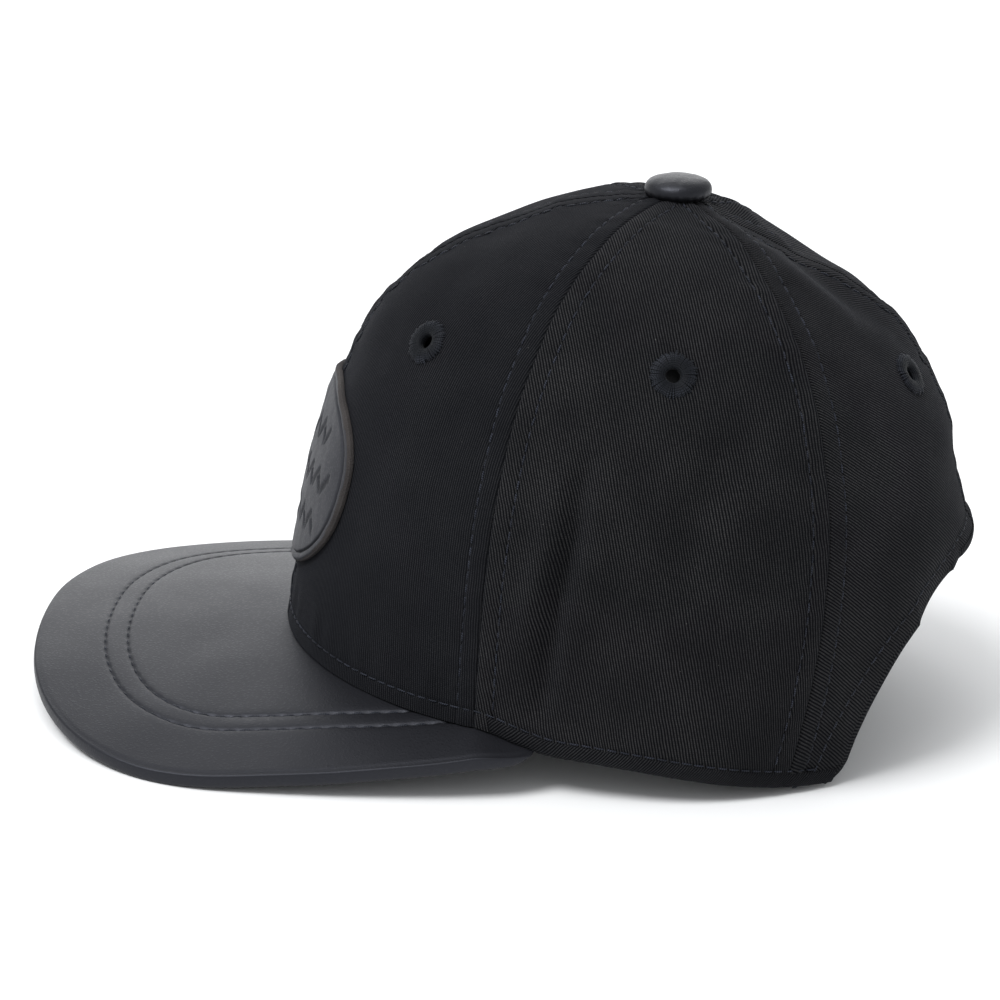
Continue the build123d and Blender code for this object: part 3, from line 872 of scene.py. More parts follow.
def panel(name, start, end, slant):
    """One panel, its seams, rows of stitches and edge of the arch pressed into the cloth."""
    rear = "rear" in name
    phi, share, near_start, near_end = panel_grid(start, end)
    rise = meridians.rise(phi, share)
    grain = flat_cut(phi, rise, share, (start + end) / 2, slant)
    plain = crown_point(phi, rise)
    gap, value = arch_gap(plain)
    keep = np.ones((phi.shape[0] - 1, phi.shape[1] - 1), bool)
    if rear:
        # Points inside the arch move out to its edge
        inside = gap < 0
        grow = np.maximum(value, 0.02) ** (-1 / arch_roundness)
        z = plain[..., 2] * grow
        x = (np.abs(plain[..., 0]) - flare(plain[..., 2])).clip(0) * grow + flare(z)
        edge, edge_rise = place_at(x, z, rear_limits)
        phi = np.where(inside, edge * np.sign(phi), phi)
        rise = np.where(inside, edge_rise, rise)
        plain = crown_point(phi, rise)
        gap, value = arch_gap(plain)
        keep &= touched(~inside)
    run = share * meridians.length(phi)
    relief = seam_relief(np.abs(near_start), run, 1 + 5 * abs(start)) * (near_start < near_end)
    relief = relief + seam_relief(np.abs(near_end), run, 1 + 5 * abs(end)) * (near_start >= near_end)
    relief = relief * smooth((run + 4) / 8) + base_relief(run, phi)
    if rear:
        relief = relief + arch_relief(gap)
    out = outward(phi, rise)
    hang = drape(phi, rise)
    outer = plain + out * (hang + relief)[..., None]
    inner = plain + out * (hang - cloth_thickness)[..., None]
    for at, axis in zip(eyelet_at, eyelet_out):
        off = outer - at
        across = off - (off @ axis)[..., None] * axis
        near = np.linalg.norm(off, axis=-1) < 6
        keep &= ~touched(near & (np.linalg.norm(across, axis=-1) < eyelet_hole))
    # Front panels take the darker twill copy, painted shade.
    obj = closed_sheet(name, outer, inner, shaded_front_fabric if "front" in name else fabric, grain, keep)
    settle(obj, "cotton_twill", name)
    cloth(outer, 0.75 if rear else float(keep.mean()))


for name, start, end, slant in (
    ("front", 0.0, front_seam, radians(4)),
    ("side", front_seam, rear_seam, radians(14)),
    ("rear", rear_seam, pi, radians(52)),
):
    panel(f"{name}_panel_left", start, end, slant)
    panel(f"{name}_panel_right", -end, -start, slant)


# ---- Seams: rows of stitches outside, and tapes with their own rows inside

def along_seam(seam, offset, low, high, lift):
    """Points and normals of a row beside a seam, from a height to a share of its length."""
    share = np.linspace(low / mean_length, high, 260)
    phi = np.full(share.shape, seam)
    rise = meridians.rise(phi, share)
    fast = speed(phi, rise)
    phi = phi + offset * seam_pull(radians(57) * fast) / fast
    rise = meridians.rise(phi, share)
    return on_cloth(phi, rise, lift), outward(phi, rise)


above_arch = arch_height + arch_hem_width
seam_rows, tape_rows = [], []
for seam in (0.0, front_seam, -front_seam, rear_seam, -rear_seam, pi):
    low = above_arch + 0.6 if seam == pi else 0.0
    for offset in (-seam_row, seam_row):
        seam_rows.append(along_seam(seam, offset, max(low, base_row + 1.5), 0.985, 0.10))
        tape_rows.append(along_seam(seam, offset, max(low, 9.0), 0.80, -tape_depth))


def tape(name, seam, low):
    """Woven tape over a seam inside, a little uneven along its edges."""
    start, end = low / mean_length, 0.86
    share = start + (end - start) * np.linspace(0, 1, 110)
    offset = np.array([-7.0, -6.6, -5.6, -5.0, -3.5, -1.6, 0.0, 1.6, 3.5, 5.0, 5.6, 6.6, 7.0])[:, None]
    phi = np.full((len(offset), len(share)), seam)
    edge = offset * (1 + 0.02 * np.sin(share * 90 + offset))
    phi = phi + edge / speed(phi, meridians.rise(phi, share))
    rise = meridians.rise(phi, share)
    swell = 0.12 * np.abs(np.cos(offset * pi / seam_row))
    inner = on_cloth(phi, rise, 0.04 - tape_depth - swell)
    grain = pairs(offset, share * mean_length)
    obj = closed_sheet(name, on_cloth(phi, rise, -1.12), inner, tape_weave, grain)
    settle(obj, "seam_tape", name)
    cloth(inner)


tape("seam_tape_front_centre", 0.0, 6.0)
tape("seam_tape_rear_centre", pi, above_arch + 3.0)
for side, sign in (("left", 1), ("right", -1)):
    tape(f"seam_tape_front_{side}", sign * front_seam, 6.0)
    tape(f"seam_tape_rear_{side}", sign * rear_seam, 6.0)

obj = stitches("seam_tape_stitching", tape_rows, stitch_pitch, 2.7, 0.22, black_thread, sink=-0.12)
settle(obj, "eyelet_thread")


# ---- Base of the crown: hem binding and its row of stitches

def hem(name, start, end):
    """Bias binding folded over the lower edge, thicker where its stitches pull it in."""
    section = np.array([
        (-0.10, 4.55), (0.30, 4.48), (0.62, 4.05), (0.78, 3.2), (0.80, 2.2), (0.70, 1.2), (0.35, 0.35),
        (-0.40, 0.0), (-1.10, 0.25), (-1.55, 1.1), (-1.62, 2.4), (-1.50, 4.1), (-1.08, 4.1), (-1.10, 1.6),
        (-0.60, 0.45), (-0.05, 0.5), (0.0, 1.4), (-0.05, 3.2),
    ])
    depth, height = section[None, :, 0], section[None, :, 1]
    phi = np.linspace(start, end, 170)[:, None]
    rise = rise_at_height(phi, height)
    phi = np.broadcast_to(phi, rise.shape)
    fade = smooth((np.abs(phi) - hem_start) / radians(8))
    pinch = 1 - 0.16 * np.cos(phi * crown_half_width * 2 * pi / stitch_pitch) * (height > 3.0)
    puff = 1 + 0.10 * np.sin(phi * 61) + 0.08 * np.sin(phi * 97)
    depth = depth * np.where(depth > 0.1, pinch * puff * (0.25 + 0.75 * fade), 1.0)
    points = on_cloth(phi, rise, depth)
    grain = turned((phi - start) * 84, lengths_along(section), radians(35))
    obj = closed_sweep(name, points, hem_fabric, grain)
    settle(obj, "cotton_twill", name)


hem_end = float(place_at(arch_half_width + 2.2, 1.5, rear_limits)[0])
hem("base_hem_left", hem_start, hem_end)
hem("base_hem_right", -hem_end, -hem_start)

row_end = float(place_at(arch_half_width + arch_row, base_row, rear_limits)[0])
row_azimuths = np.linspace(-row_end, row_end, 500)
row_rises = rise_at_height(row_azimuths, base_row - 0.25)
seam_rows.append((on_cloth(row_azimuths, row_rises, 0.05), outward(row_azimuths, row_rises)))


# ---- Rear arch: rolled edge, facing inside and a row of stitches

def arch_curve(turns, margin, depth):
    """Points and crown normals along half of the arch, margin outside its edge."""
    power = 2 / arch_roundness
    x = (arch_half_width + margin) * np.maximum(np.cos(turns), 0) ** power
    z = (arch_height + margin) * np.sin(turns) ** power
    phi, rise = place_at(x + flare(z), z, rear_limits)
    return on_cloth(phi, rise, -depth), outward(phi, rise)


def both_sides(half):
    """Whole arch from its left half, crest in the middle."""
    flip = np.array([-1.0, 1.0, 1.0])
    return tuple(np.concatenate([line, line[::-1][1:] * flip]) for line in half)


def even_turns(margin, count):
    """Turns that are evenly spaced along the arch."""
    turns = np.linspace(0.0, pi / 2, 1500)
    reach = lengths_along(arch_curve(turns, margin, 0.0)[0])
    return np.interp(np.linspace(0, reach[-1], count), reach, turns)


edge_turns = even_turns(0.0, 130)
edge_points, edge_out = both_sides(arch_curve(edge_turns, 0.0, 0.0))
edge_side = unit(np.cross(edge_out, unit(np.gradient(edge_points, axis=0))))

# Section of the rolled edge: distance from the edge of the arch, and outward
roll = np.array([
    (2.3, 0.30), (1.4, 0.48), (0.4, 0.40), (-0.25, 0.05), (-0.62, -0.6), (-0.70, -1.3), (-0.60, -2.0),
    (-0.20, -2.55), (0.5, -2.85), (2.3, -2.95), (2.3, -2.62), (0.7, -2.45), (0.15, -2.1), (-0.05, -1.3),
    (0.05, -0.6), (0.4, -0.25), (1.3, -0.05), (2.3, -0.10),
])
roll_points = edge_points[:, None] + roll[:, :1] * edge_side[:, None] + roll[:, 1:] * edge_out[:, None]
roll_length = lengths_along(edge_points)[:, None]
roll_grain = pairs(roll_length * 0.8, lengths_along(roll) + roll_length * 0.6)
obj = closed_sweep("arch_edge_roll", roll_points, fabric, roll_grain)
settle(obj, "cotton_twill")


facing_margins = np.array([0.6, 1.4, 2.4, 3.6, 4.8, 5.6, 6.0, 6.4, 7.2, 7.8, 8.0])


def facing_face(depths):
    """Grid of points along the arch at the facing's margins, this far inside the crown."""
    curves = [arch_curve(edge_turns, margin, depth) for margin, depth in zip(facing_margins, depths)]
    return np.stack([both_sides(curve)[0] for curve in curves], 1)[::-1]


facing_outer = facing_face(np.full(facing_margins.shape, 1.75))
facing_inner = facing_face(2.55 - 0.2 * hump(facing_margins - arch_row, 0.6))
facing_grain = pairs(facing_margins, roll_length)[::-1]
obj = closed_sheet("arch_facing", facing_outer, facing_inner, tape_weave, facing_grain)
settle(obj, "seam_tape", "arch_facing_left", "arch_facing_right")
cloth(facing_outer)
seam_rows.append(both_sides(arch_curve(even_turns(arch_row, 300), arch_row, -0.12)))

obj = stitches("crown_stitching", seam_rows, stitch_pitch, 2.75, thread_radius, black_thread)
settle(obj, "eyelet_thread")


# ---- Embroidered eyelets

def eyelet_axes(out):
    """Sideways and upward directions across an eyelet."""
    right = unit(np.cross((0.0, 0.0, 1.0), out))
    return right, np.cross(out, right)


def eyelet_threads():
    """Satin stitches that run over a padded ring, through the hole and under, for every eyelet."""
    route = np.array([
        (6.25, -0.15), (5.7, 0.42), (4.9, 0.72), (4.0, 0.84), (3.1, 0.80), (2.4, 0.50), (2.05, -0.1),
        (2.05, -1.1), (2.5, -1.75), (3.6, -1.95), (4.4, -1.7),
    ])
    girth = np.array([0.20, 0.30, 0.27, 0.23, 0.19, 0.15, 0.12, 0.12, 0.16, 0.20, 0.16])[:, None, None]
    sides = circle(6)[:, None]
    count = 74
    points = []
    for at, out in zip(eyelet_at, eyelet_out):
        right, up = eyelet_axes(out)
        for angle in circle(count) + rng.normal(0, 0.012, count):
            reach = 1 + rng.normal(0, 0.035)
            spread = np.where(route[:, 1] > -0.2, 1 + (reach - 1) * smooth((route[:, 0] - 3) / 3), 1.0)
            turn = angle + rng.normal(0, 0.02) * (route[:, :1] - 2) / 6
            direction = np.cos(turn) * right + np.sin(turn) * up
            tangent = np.cross(out, direction)
            spine = at + direction * (route[:, 0] * spread)[:, None] + out * route[:, 1:]
            lift = unit(np.cross(tangent, unit(np.gradient(spine, axis=0))))
            ring = np.cos(sides) * tangent[:, None] + np.sin(sides) * lift[:, None]
            points.append(spine[:, None] + ring * girth)
    size = len(route) * 6
    faces = thread_faces(len(route)) + np.arange(len(points))[:, None, None] * size
    grain = np.tile(pairs(np.arange(len(route))[:, None] * 0.9, circle(6) * 0.25), (len(points), 1, 1))
    return make("eyelets", np.array(points), faces.reshape(-1, 4), ring_thread, grain)


settle(eyelet_threads(), "eyelet_thread", "eyelets")


def eyelet_padding():
    """Ring of padding under the satin stitches, so that nothing shows between them."""
    profile = np.array([
        (5.9, 0.0), (5.2, 0.38), (4.2, 0.55), (3.0, 0.5), (2.25, 0.1), (2.2, -1.2), (3.6, -1.7), (4.2, -1.3),
        (4.4, -0.9), (2.6, -0.6), (2.9, -0.1),
    ])
    turns = circle(48)[:, None]
    rings = []
    for at, out in zip(eyelet_at, eyelet_out):
        right, up = eyelet_axes(out)
        direction = np.cos(turns) * right + np.sin(turns) * up
        rings.append(at + direction[:, None] * profile[:, :1] + out * profile[:, 1:])
    size = len(turns) * len(profile)
    quads = cells(len(turns), len(profile), round_n=True, round_m=True)
    faces = quads + np.arange(len(rings))[:, None, None] * size
    grain = np.zeros((len(rings) * size, 2))
    return make("eyelet_padding", np.array(rings), faces.reshape(-1, 4), hem_fabric, grain)


settle(eyelet_padding(), "eyelet_thread")


# ---- Buckram behind the front panels


def buckram(name, sign, eyelet):
    """Stiff net behind a front panel, with a wider hole behind its eyelet."""
    margin, face_depths, hole = 8.0, (1.12, 1.85), 5.2
    u, v = np.linspace(0, 1, 60)[:, None], np.linspace(0, 1, 70)[None, :]
    phi = front_seam * u + 0 * v
    low = rise_at_height(phi, 3.0)
    rise = low + (rise_at_shrink(phi, 0.40) - low) * v
    edge = margin / speed(phi, rise)
    phi = edge + (front_seam - 2 * edge) * u
    hang = drape(sign * phi, rise)
    outer, inner = (off_crown(phi, rise, hang - depth) * (sign, 1.0, 1.0) for depth in face_depths)
    outer, inner = outer[::sign], inner[::sign]
    keep = ~touched(np.linalg.norm(outer - eyelet, axis=-1) < hole)
    obj = closed_sheet(name, outer, inner, mesh_weave, pairs(u * 80, v * 110), keep)
    settle(obj, "buckram", name)
    cloth(outer)


buckram("front_buckram_left", 1, eyelet_at[0])
buckram("front_buckram_right", -1, eyelet_at[3])


# ---- Sweatband, its foam and a blank label

def sweatband():
    """Folded cotton band with a rolled top edge, its lower edge turned out to the crown."""
    section = np.array([
        (3.9, 30.6), (3.75, 29.0), (3.7, 24.0), (3.6, 16.0), (3.5, 9.0), (3.0, 5.2), (2.2, 2.6), (1.9, 1.0),
        (2.3, 0.75), (2.9, 0.8), (3.5, 1.9), (4.2, 4.2), (4.55, 6.0), (4.85, 9.0), (4.95, 14.0),
        (4.95, 20.0), (4.9, 25.5), (4.75, 27.4), (4.95, 28.6), (5.0, 30.0), (4.8, 31.3), (4.35, 31.7),
    ])
    phi = np.linspace(-radians(118), radians(118), 420)[:, None]
    depth, height = section[None, :, 0], section[None, :, 1]
    free = smooth(height / 20) * smooth((depth - 2.5) / 1.5)
    gather = 0.22 * np.sin(phi * 38) + 0.16 * np.sin(phi * 61 + 1.7) + 0.12 * np.sin(phi * 23 + 0.4)
    gather = gather + 0.10 * np.sin(phi * 104)
    rise = rise_at_height(phi, height)
    phi = np.broadcast_to(phi, rise.shape)
    points = off_crown(phi, rise, -(depth + (gather * 0.8 + 0.25) * free))
    obj = closed_sweep("sweatband", points[::-1], band_weave, pairs(phi * 86, lengths_along(section))[::-1])
    settle(obj, "sweatband_cotton", "sweatband")
    rows = []
    for place, out_by in ((12, 0.12), (17, 0.10)):
        out = outward(phi[:, 0], rise[:, place])
        rows.append((points[:, place] - out * out_by, -out))
    settle(stitches("sweatband_stitching", rows, 3.2, 2.5, 0.22, black_thread), "sweatband_cotton")


def sweatband_foam():
    """Strip of foam inside the front of the sweatband, thinner at its two edges."""
    heights = np.array([4.0, 4.3, 5.0, 7.0, 11.0, 16.0, 21.0, 25.0, 27.0, 27.7, 28.0])
    half = 0.55 * np.clip(1 - np.abs((heights - 16) / 12.1) ** 6, 0, 1) ** 0.5
    phi = np.linspace(-radians(48), radians(48), 60)[:, None]
    rise = rise_at_height(phi, heights)
    phi = np.broadcast_to(phi, rise.shape)
    outer, inner = (off_crown(phi, rise, -2.85 + side * half) for side in (1, -1))
    obj = closed_sheet("sweatband_foam", outer, inner, band_foam)
    settle(obj, "foam", "sweatband_foam")


def label():
    """Folded loop of satin ribbon without any print."""
    u, v = np.linspace(0, 1, 22)[:, None], np.linspace(0, 1, 20)[None, :]
    phi = radians(98.4) + radians(15.2) * u
    rise = rise_at_height(phi, 5.0 + 22.0 * v)
    phi = np.broadcast_to(phi, rise.shape)
    curl = 5.35 + 1.3 * (1 - v) ** 2 + 0.25 * np.sin(pi * u) * (1 - v)
    outer, inner = (off_crown(phi, rise, -(curl + depth)) for depth in (0.0, 0.35))
    obj = closed_sheet("blank_care_label", outer, inner, label_satin, pairs(u * 22.0, v * 22.0))
    settle(obj, "label_satin", "blank_care_label")
    cloth(outer)


sweatband()
sweatband_foam()
label()


# ---- Visor

corner_x = crown_half_width * sin(corner)
corner_y = -crown_front * cos(corner)
visor_reach = visor_widest_y + crown_front + visor_length


def visor_curve(t, inset, fullness):
    """Plan of a line round the visor, inset from its free edge; t is -1 to 1 from corner to corner."""
    front_share = 0.62
    half = visor_half_width - inset
    power = 2 / visor_roundness
    turn = np.clip(np.abs(t) / front_share, 0, 1) * pi / 2
    front_x = half * np.sin(turn) ** power
    front_y = visor_widest_y - (visor_reach - inset) * np.maximum(np.cos(turn), 0) ** power
    back = np.sin(np.clip((np.abs(t) - front_share) / (1 - front_share), 0, 1) * pi / 2)
    back_x = half - fullness * (visor_half_width - corner_x) * (1 - np.sqrt(np.maximum(1 - back**2, 0)))
    back_y = visor_widest_y + (corner_y - visor_widest_y) * back
    at_front = np.abs(t) <= front_share
    x, y = np.where(at_front, front_x, back_x), np.where(at_front, front_y, back_y)
    return np.stack([np.where(t < 0, -x, x), y], -1)


def even_visor(count):
    """Values of t that are evenly spaced along the free edge."""
    t = np.linspace(-1, 1, 6001)
    reach = lengths_along(visor_curve(t, 0.0, 1.0))
    return np.interp(np.linspace(0, reach[-1], count), reach, t)


def clipped(lines):
    """Lines of plan points drawn in from the free edge, stopped where they pass under the crown."""
    tucked = np.array([crown_half_width - visor_tuck_in, crown_front - visor_tuck_in])
    inside = (((lines / tucked) ** 2).sum(-1) < 1) & (lines[..., 1] < 5)
    fixed = lines.copy()
    for i in range(lines.shape[0]):
        hits = np.flatnonzero(inside[i])
        if len(hits) and hits[0] > 0:
            k = hits[0]
            a, b = lines[i, k - 1], lines[i, k]
            low, high = 0.0, 1.0
            for _ in range(30):
                middle = (low + high) / 2
                within = (((a + (b - a) * middle) / tucked) ** 2).sum() < 1
                low, high = (low, middle) if within else (middle, high)
            fixed[i, k:] = a + (b - a) * low
    return fixed


visor_t = even_visor(380)
rim_curve = visor_curve(visor_t, 0.0, 1.0)
outer_row, inner_row = (visor_curve(visor_t, inset, 0.5) for inset in visor_rows)
under_turn = visor_t * corner * 0.97
under_crown = 0.78 * np.stack([crown_half_width * np.sin(under_turn), -crown_front * np.cos(under_turn)], -1)
rim_normal = unit(np.stack([np.gradient(rim_curve[:, 1]), -np.gradient(rim_curve[:, 0])], -1))
groove_steps = np.array([-2.4, -1.7, -1.2, -0.8, -0.45, -0.2, 0.0, 0.2, 0.45, 0.8, 1.2, 1.7, 2.4])


def inside_rim(insets):
    """Plan lines at these distances inside the free edge."""
    return rim_curve[:, None] - rim_normal[:, None] * np.asarray(insets)[:, None]


def between(a, b, from_a, from_b, count):
    """Plan lines between two curves, starting and ending these distances from them."""
    run = b - a
    size = np.maximum(np.linalg.norm(run, axis=-1, keepdims=True), 1e-6)
    shares = np.linspace(0, 1, count)[None, :, None]
    start, end = from_a / size[:, None], 1 - from_b / size[:, None]
    return a[:, None] + run[:, None] * (start + (end - start) * shares)


def beside(curve, toward, steps):
    """Plan lines close to a curve, at these distances towards another curve (or away from it)."""
    return curve[:, None] + unit(toward - curve)[:, None] * steps[:, None]


def visor_lines(insets, steps, before, after):
    """Plan lines from the free edge to under the crown, close together at the rows of stitches."""
    return np.concatenate([
        inside_rim(insets),
        between(rim_curve - rim_normal * insets[-1], outer_row, 2.0, 2.9, before),
        beside(outer_row, inner_row, steps),
        beside(inner_row, under_crown, steps),
        between(inner_row, under_crown, 3.4, 0.0, after),
    ], 1)


top_lines = clipped(visor_lines((1.6, 2.6, 4.2), groove_steps, 8, 26))

def thinness(y):
    """Share of its full thickness that the visor has, less towards its two corners."""
    return 1 - 0.42 * smooth((y - corner_y + 15.0) / 15.0) - 0.38 * smooth((y - corner_y + 4.5) / 4.5)


def groove(plan):
    """How deep the two rows of stitches pull the leather in."""
    depth = np.zeros(plan.shape[:-1])
    for curve in (outer_row, inner_row):
        gap, along = to_path(plan, curve[::2])
        beat = np.cos(2 * pi * along * lengths_along(curve)[-1] / visor_pitch)
        depth = depth + (0.36 + 0.16 * beat) * hump(gap, 0.52) + 0.14 * hump(gap, 1.7)
    return depth * thinness(plan[..., 1]) ** 2


def visor_height(plan):
    """Upper face, with a slight unevenness."""
    flat = np.concatenate([plan, np.zeros(plan.shape[:-1] + (1,))], -1)
    dip = droop(np.arccos(np.clip(-plan[..., 1] / crown_front, -1, 1))) * (plan[..., 1] < 0)
    dip = np.where(plan[..., 1] < -crown_front, 0.0, np.minimum(dip, droop(corner)))
    tip = 0.2 + 0.5 * smooth((plan[..., 1] - corner_y + 10.0) / 10.0)
    return visor_top(plan[..., 0], plan[..., 1]) + waver(flat, 0.14, 63.0) + tip - dip


def upright(plan, height):
    """Points of the plan at these heights."""
    return np.concatenate([plan, height[..., None]], -1)


# Free edge from the upper face round to the underside: distance inside the rim, and depth
edge_profile = np.array([
    (1.0, 0.0), (0.62, 0.02), (0.38, 0.10), (0.18, 0.26), (0.05, 0.50), (0.0, 0.80), (-0.08, 1.4),
    (-0.10, 2.1), (-0.02, 2.8), (0.12, 3.3), (0.38, 3.75), (0.80, 3.98), (1.32, 4.0),
])[::-1]
# The same edge on the inside of the leather
lining_profile = np.array([
    (1.33, 3.1), (1.2, 2.9), (1.15, 2.7), (1.1, 2.5), (1.05, 2.2), (1.05, 1.9), (1.05, 1.7), (1.05, 1.5),
    (1.05, 1.35), (1.08, 1.2), (1.15, 1.1), (1.3, 1.03), (1.5, 1.0),
])
rim_height, rim_thin = visor_height(rim_curve)[:, None], thinness(rim_curve[:, 1])[:, None]


def visor_face(profile, plan, height):
    """Free edge with this profile, joined to the points of the plan at their heights."""
    edge = upright(inside_rim(profile[:, 0]), rim_height - profile[:, 1] * rim_thin)
    return np.concatenate([edge, upright(plan, height)], 1)


top_height, top_thin = visor_height(top_lines), thinness(top_lines[..., 1])
visor_outer = visor_face(edge_profile, top_lines, top_height - groove(top_lines))
visor_inner = visor_face(lining_profile, top_lines, top_height - top_thin)
obj = closed_sheet("visor_top_cover", visor_outer[::-1], visor_inner[::-1], visor_skin, merge=True)
settle(obj, "visor_leather", "visor_top_cover")
cover_area = min(sheet_area(visor_outer), 0.205 * 0.165)

under_lines = clipped(visor_lines((1.42, 1.6, 2.2), groove_steps[::2], 7, 16)[::2])
under_height, under_thin = visor_height(under_lines), thinness(under_lines[..., 1])
under_depth = np.full(under_lines.shape[:2], visor_thickness)
under_depth[:, :2] -= (0.35, 0.10)
under_outer = upright(under_lines, under_height - under_depth * under_thin + 0.6 * groove(under_lines))
under_inner = upright(under_lines, under_height - (visor_thickness - 1.0) * under_thin)
obj = closed_sheet("visor_under_cover", under_outer, under_inner, visor_skin, merge=True)
settle(obj, "visor_leather", "visor_under_cover")
cover_area = min(sheet_area(under_outer), 0.200 * 0.160)

board_edge = rim_curve - rim_normal * 1.6
board_lines = np.concatenate([board_edge[:, None], between(board_edge, under_crown, 1.0, 0.0, 24)], 1)
board_lines = clipped(board_lines[::2])
board_height, board_thin = visor_height(board_lines), thinness(board_lines[..., 1])
board_top = upright(board_lines, board_height - 1.05 * board_thin - 0.9 * groove(board_lines))
board_under = upright(board_lines, board_height - 2.9 * board_thin)
obj = closed_sheet("visor_board", board_top[::-1], board_under[::-1], board_plastic, merge=True)
settle(obj, "visor_board_plastic", "visor_board")


def visor_row(curve, depth, up):
    """Row of stitches on the visor, only where it is clear of the crown."""
    reach = lengths_along(curve)
    fine = np.linspace(0, reach[-1], 3000)
    plan = along_line(fine, reach, curve)
    value = (plan[:, 0] / (crown_half_width + 0.5)) ** 2 + (plan[:, 1] / (crown_front + 0.5)) ** 2
    clear = (value > 1) & (fine > np.ceil(fine[value > 1][0] / visor_pitch) * visor_pitch)
    plan = plan[clear]
    points = upright(plan, visor_height(plan) - depth)
    slope = np.stack([visor_camber * plan[:, 0], np.full(len(plan), -visor_slope), np.ones(len(plan))], -1)
    return points, unit(slope) * up


top_rows = [visor_row(curve, 0.30, 1.0) for curve in (outer_row, inner_row)]
under_rows = [visor_row(curve, visor_thickness - 0.10, -1.0) for curve in (outer_row, inner_row)]
obj = stitches("visor_stitching", top_rows + under_rows, visor_pitch, 3.7, 0.36, visor_thread, sink=0.30)
settle(obj, "eyelet_thread")


# ---- Front patch

def patch():
    """Oval leather badge that follows the crown, with a debossed border and rows of plain chevrons."""
    half_x, half_z, centre_z, askew, thickness = 38.2, 28.7, 64.0, 0.07, 1.7
    border, above_cloth = 2.4, 0.16
    chevron_rows = ((13.5, 22.0), (0.8, 30.5), (-12.0, 26.5))  # height and half width of each row
    chevron_pitch = 7.6
    turns = circle(288)
    round_x, round_z = (np.sign(v) * np.abs(v) ** 0.9 for v in (np.cos(turns), np.sin(turns)))

    def oval(inset, shrink):
        """Places on the crown, x and z of ovals this far inside the rim, shrunk to a share."""
        x = (half_x - inset) * shrink * round_x[:, None]
        z = centre_z + (half_z - inset) * shrink * round_z[:, None] + askew * x
        phi, rise = place_at(x, z, front_limits)
        return phi, rise, x, z

    rings = np.array([
        0.0, 0.10, 0.25, 0.45, 0.75, 1.15, 1.55, 1.8, 2.0, 2.2, 2.4, 2.6, 2.8, 3.0, 3.3, 3.8, 4.6, 5.8,
    ])
    shares = np.linspace(1, 0.0, 52)[1:]
    inset = np.concatenate([rings, np.full(len(shares), rings[-1])])
    shrink = np.concatenate([np.ones(len(rings)), shares])
    at_rim = shrink > 0.999
    phi, rise, x, z = oval(inset, shrink)
    plain = crown_point(phi, rise)
    lift = above_cloth + drape(phi, rise)
    lift = lift + seam_relief(np.abs(phi) * speed(phi, rise), z, 1.0).clip(0) * 0.6
    height = thickness - 0.55 * (1 - smooth(inset / 0.75)) * at_rim
    height = height - 0.50 * hump(inset - border, 0.40) * at_rim
    stain = np.zeros(x.shape)
    for row, reach in chevron_rows:
        beat = np.abs((x / chevron_pitch + 0.5) % 1.0 - 0.5) * chevron_pitch
        stroke = 1 - smooth((np.abs(z - centre_z - askew * x - row + 1.5 * beat - 2.4) - 1.3) / 0.5)
        stroke = stroke * (1 - smooth((beat - 3.0) / 0.5)) * (1 - smooth((np.abs(x) - reach) / 0.4))
        stain = np.maximum(stain, stroke)
    height = height - 0.45 * stain + waver(plain, 0.05, 9.0)
    stain = np.maximum(stain, hump(inset - border, 0.45) * at_rim)
    face = off_crown(phi, rise, lift + height)

    rough = 1 + 0.5 * np.sin(turns * 61) * np.sin(turns * 37)
    side = unit(face[:, 0] - face[:, 1])[:, None]
    wall = off_crown(phi[:, :1], rise[:, :1], lift[:, :1] + np.array([0.05, 0.35, 0.70]))
    wall = wall + side * (np.array([0.0, 0.12, 0.10]) * rough[:, None])[..., None]
    back_phi, back_rise, _, _ = oval(0.0, np.linspace(1, 0.0, 14)[:0:-1])
    points = np.concatenate([on_cloth(back_phi, back_rise, above_cloth + 0.1), wall, face], 1)
    n, m = points.shape[:2]
    grain = np.zeros((n, m, 2))
    grain[:, m - stain.shape[1]:, 1] = stain
    obj = make("front_patch", points, cells(n, m, round_n=True)[:, ::-1], patch_skin, grain, merge=True)
    obj.data.materials.append(patch_raw)
    for polygon in obj.data.polygons:
        x, _, z = (v / MM for v in polygon.center)
        away = abs(x / (half_x - 0.22)) ** 2.22 + abs((z - centre_z - askew * x) / (half_z - 0.22)) ** 2.22
        polygon.material_index = int(away > 1.0)
    settle(obj, "patch_leather", "front_patch")


patch()


# ---- Button

def button():
    """Leather-covered button: a domed top gathered into small pleats under its rim."""
    low, high = (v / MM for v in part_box("button_cover"))
    radius, height = (high.x - low.x) / 2, high.z - low.z + 0.9
    profile = np.array([
        (0.02, 1.0), (0.12, 0.998), (0.25, 0.99), (0.40, 0.972), (0.55, 0.94), (0.68, 0.895), (0.79, 0.835),
        (0.88, 0.755), (0.945, 0.655), (0.985, 0.54), (1.0, 0.42), (0.995, 0.30), (0.965, 0.19),
        (0.91, 0.105), (0.83, 0.055), (0.72, 0.03), (0.55, 0.02), (0.35, 0.02), (0.02, 0.02),
    ])
    turns = circle(120)[:, None]
    gather = smooth((0.5 - profile[:, 1]) / 0.45) * (profile[:, 0] > 0.5)
    pleat = 1 + gather * (0.016 * np.sin(turns * 23) + 0.010 * np.sin(turns * 37 + 1))
    x, y = (way * profile[:, 0] * radius * pleat for way in (np.cos(turns), np.sin(turns)))
    z = np.broadcast_to(profile[:, 1] * height, x.shape)
    z = z + waver(np.stack([x, y, z], -1), 0.07, 8.0) * smooth(z / height)
    tilt = radians(2.5)
    points = np.stack([x, y * cos(tilt) - z * sin(tilt) * 0.5, z + y * sin(tilt)], -1)
    points = points + np.array([0.0, apex_y, low.z - 0.75])
    obj = make("button_cover", points, cells(*x.shape, round_n=True)[:, ::-1], button_skin, merge=True)
    settle(obj, "button_leather", "button_cover")


button()


# ---- Pads of the bump insert

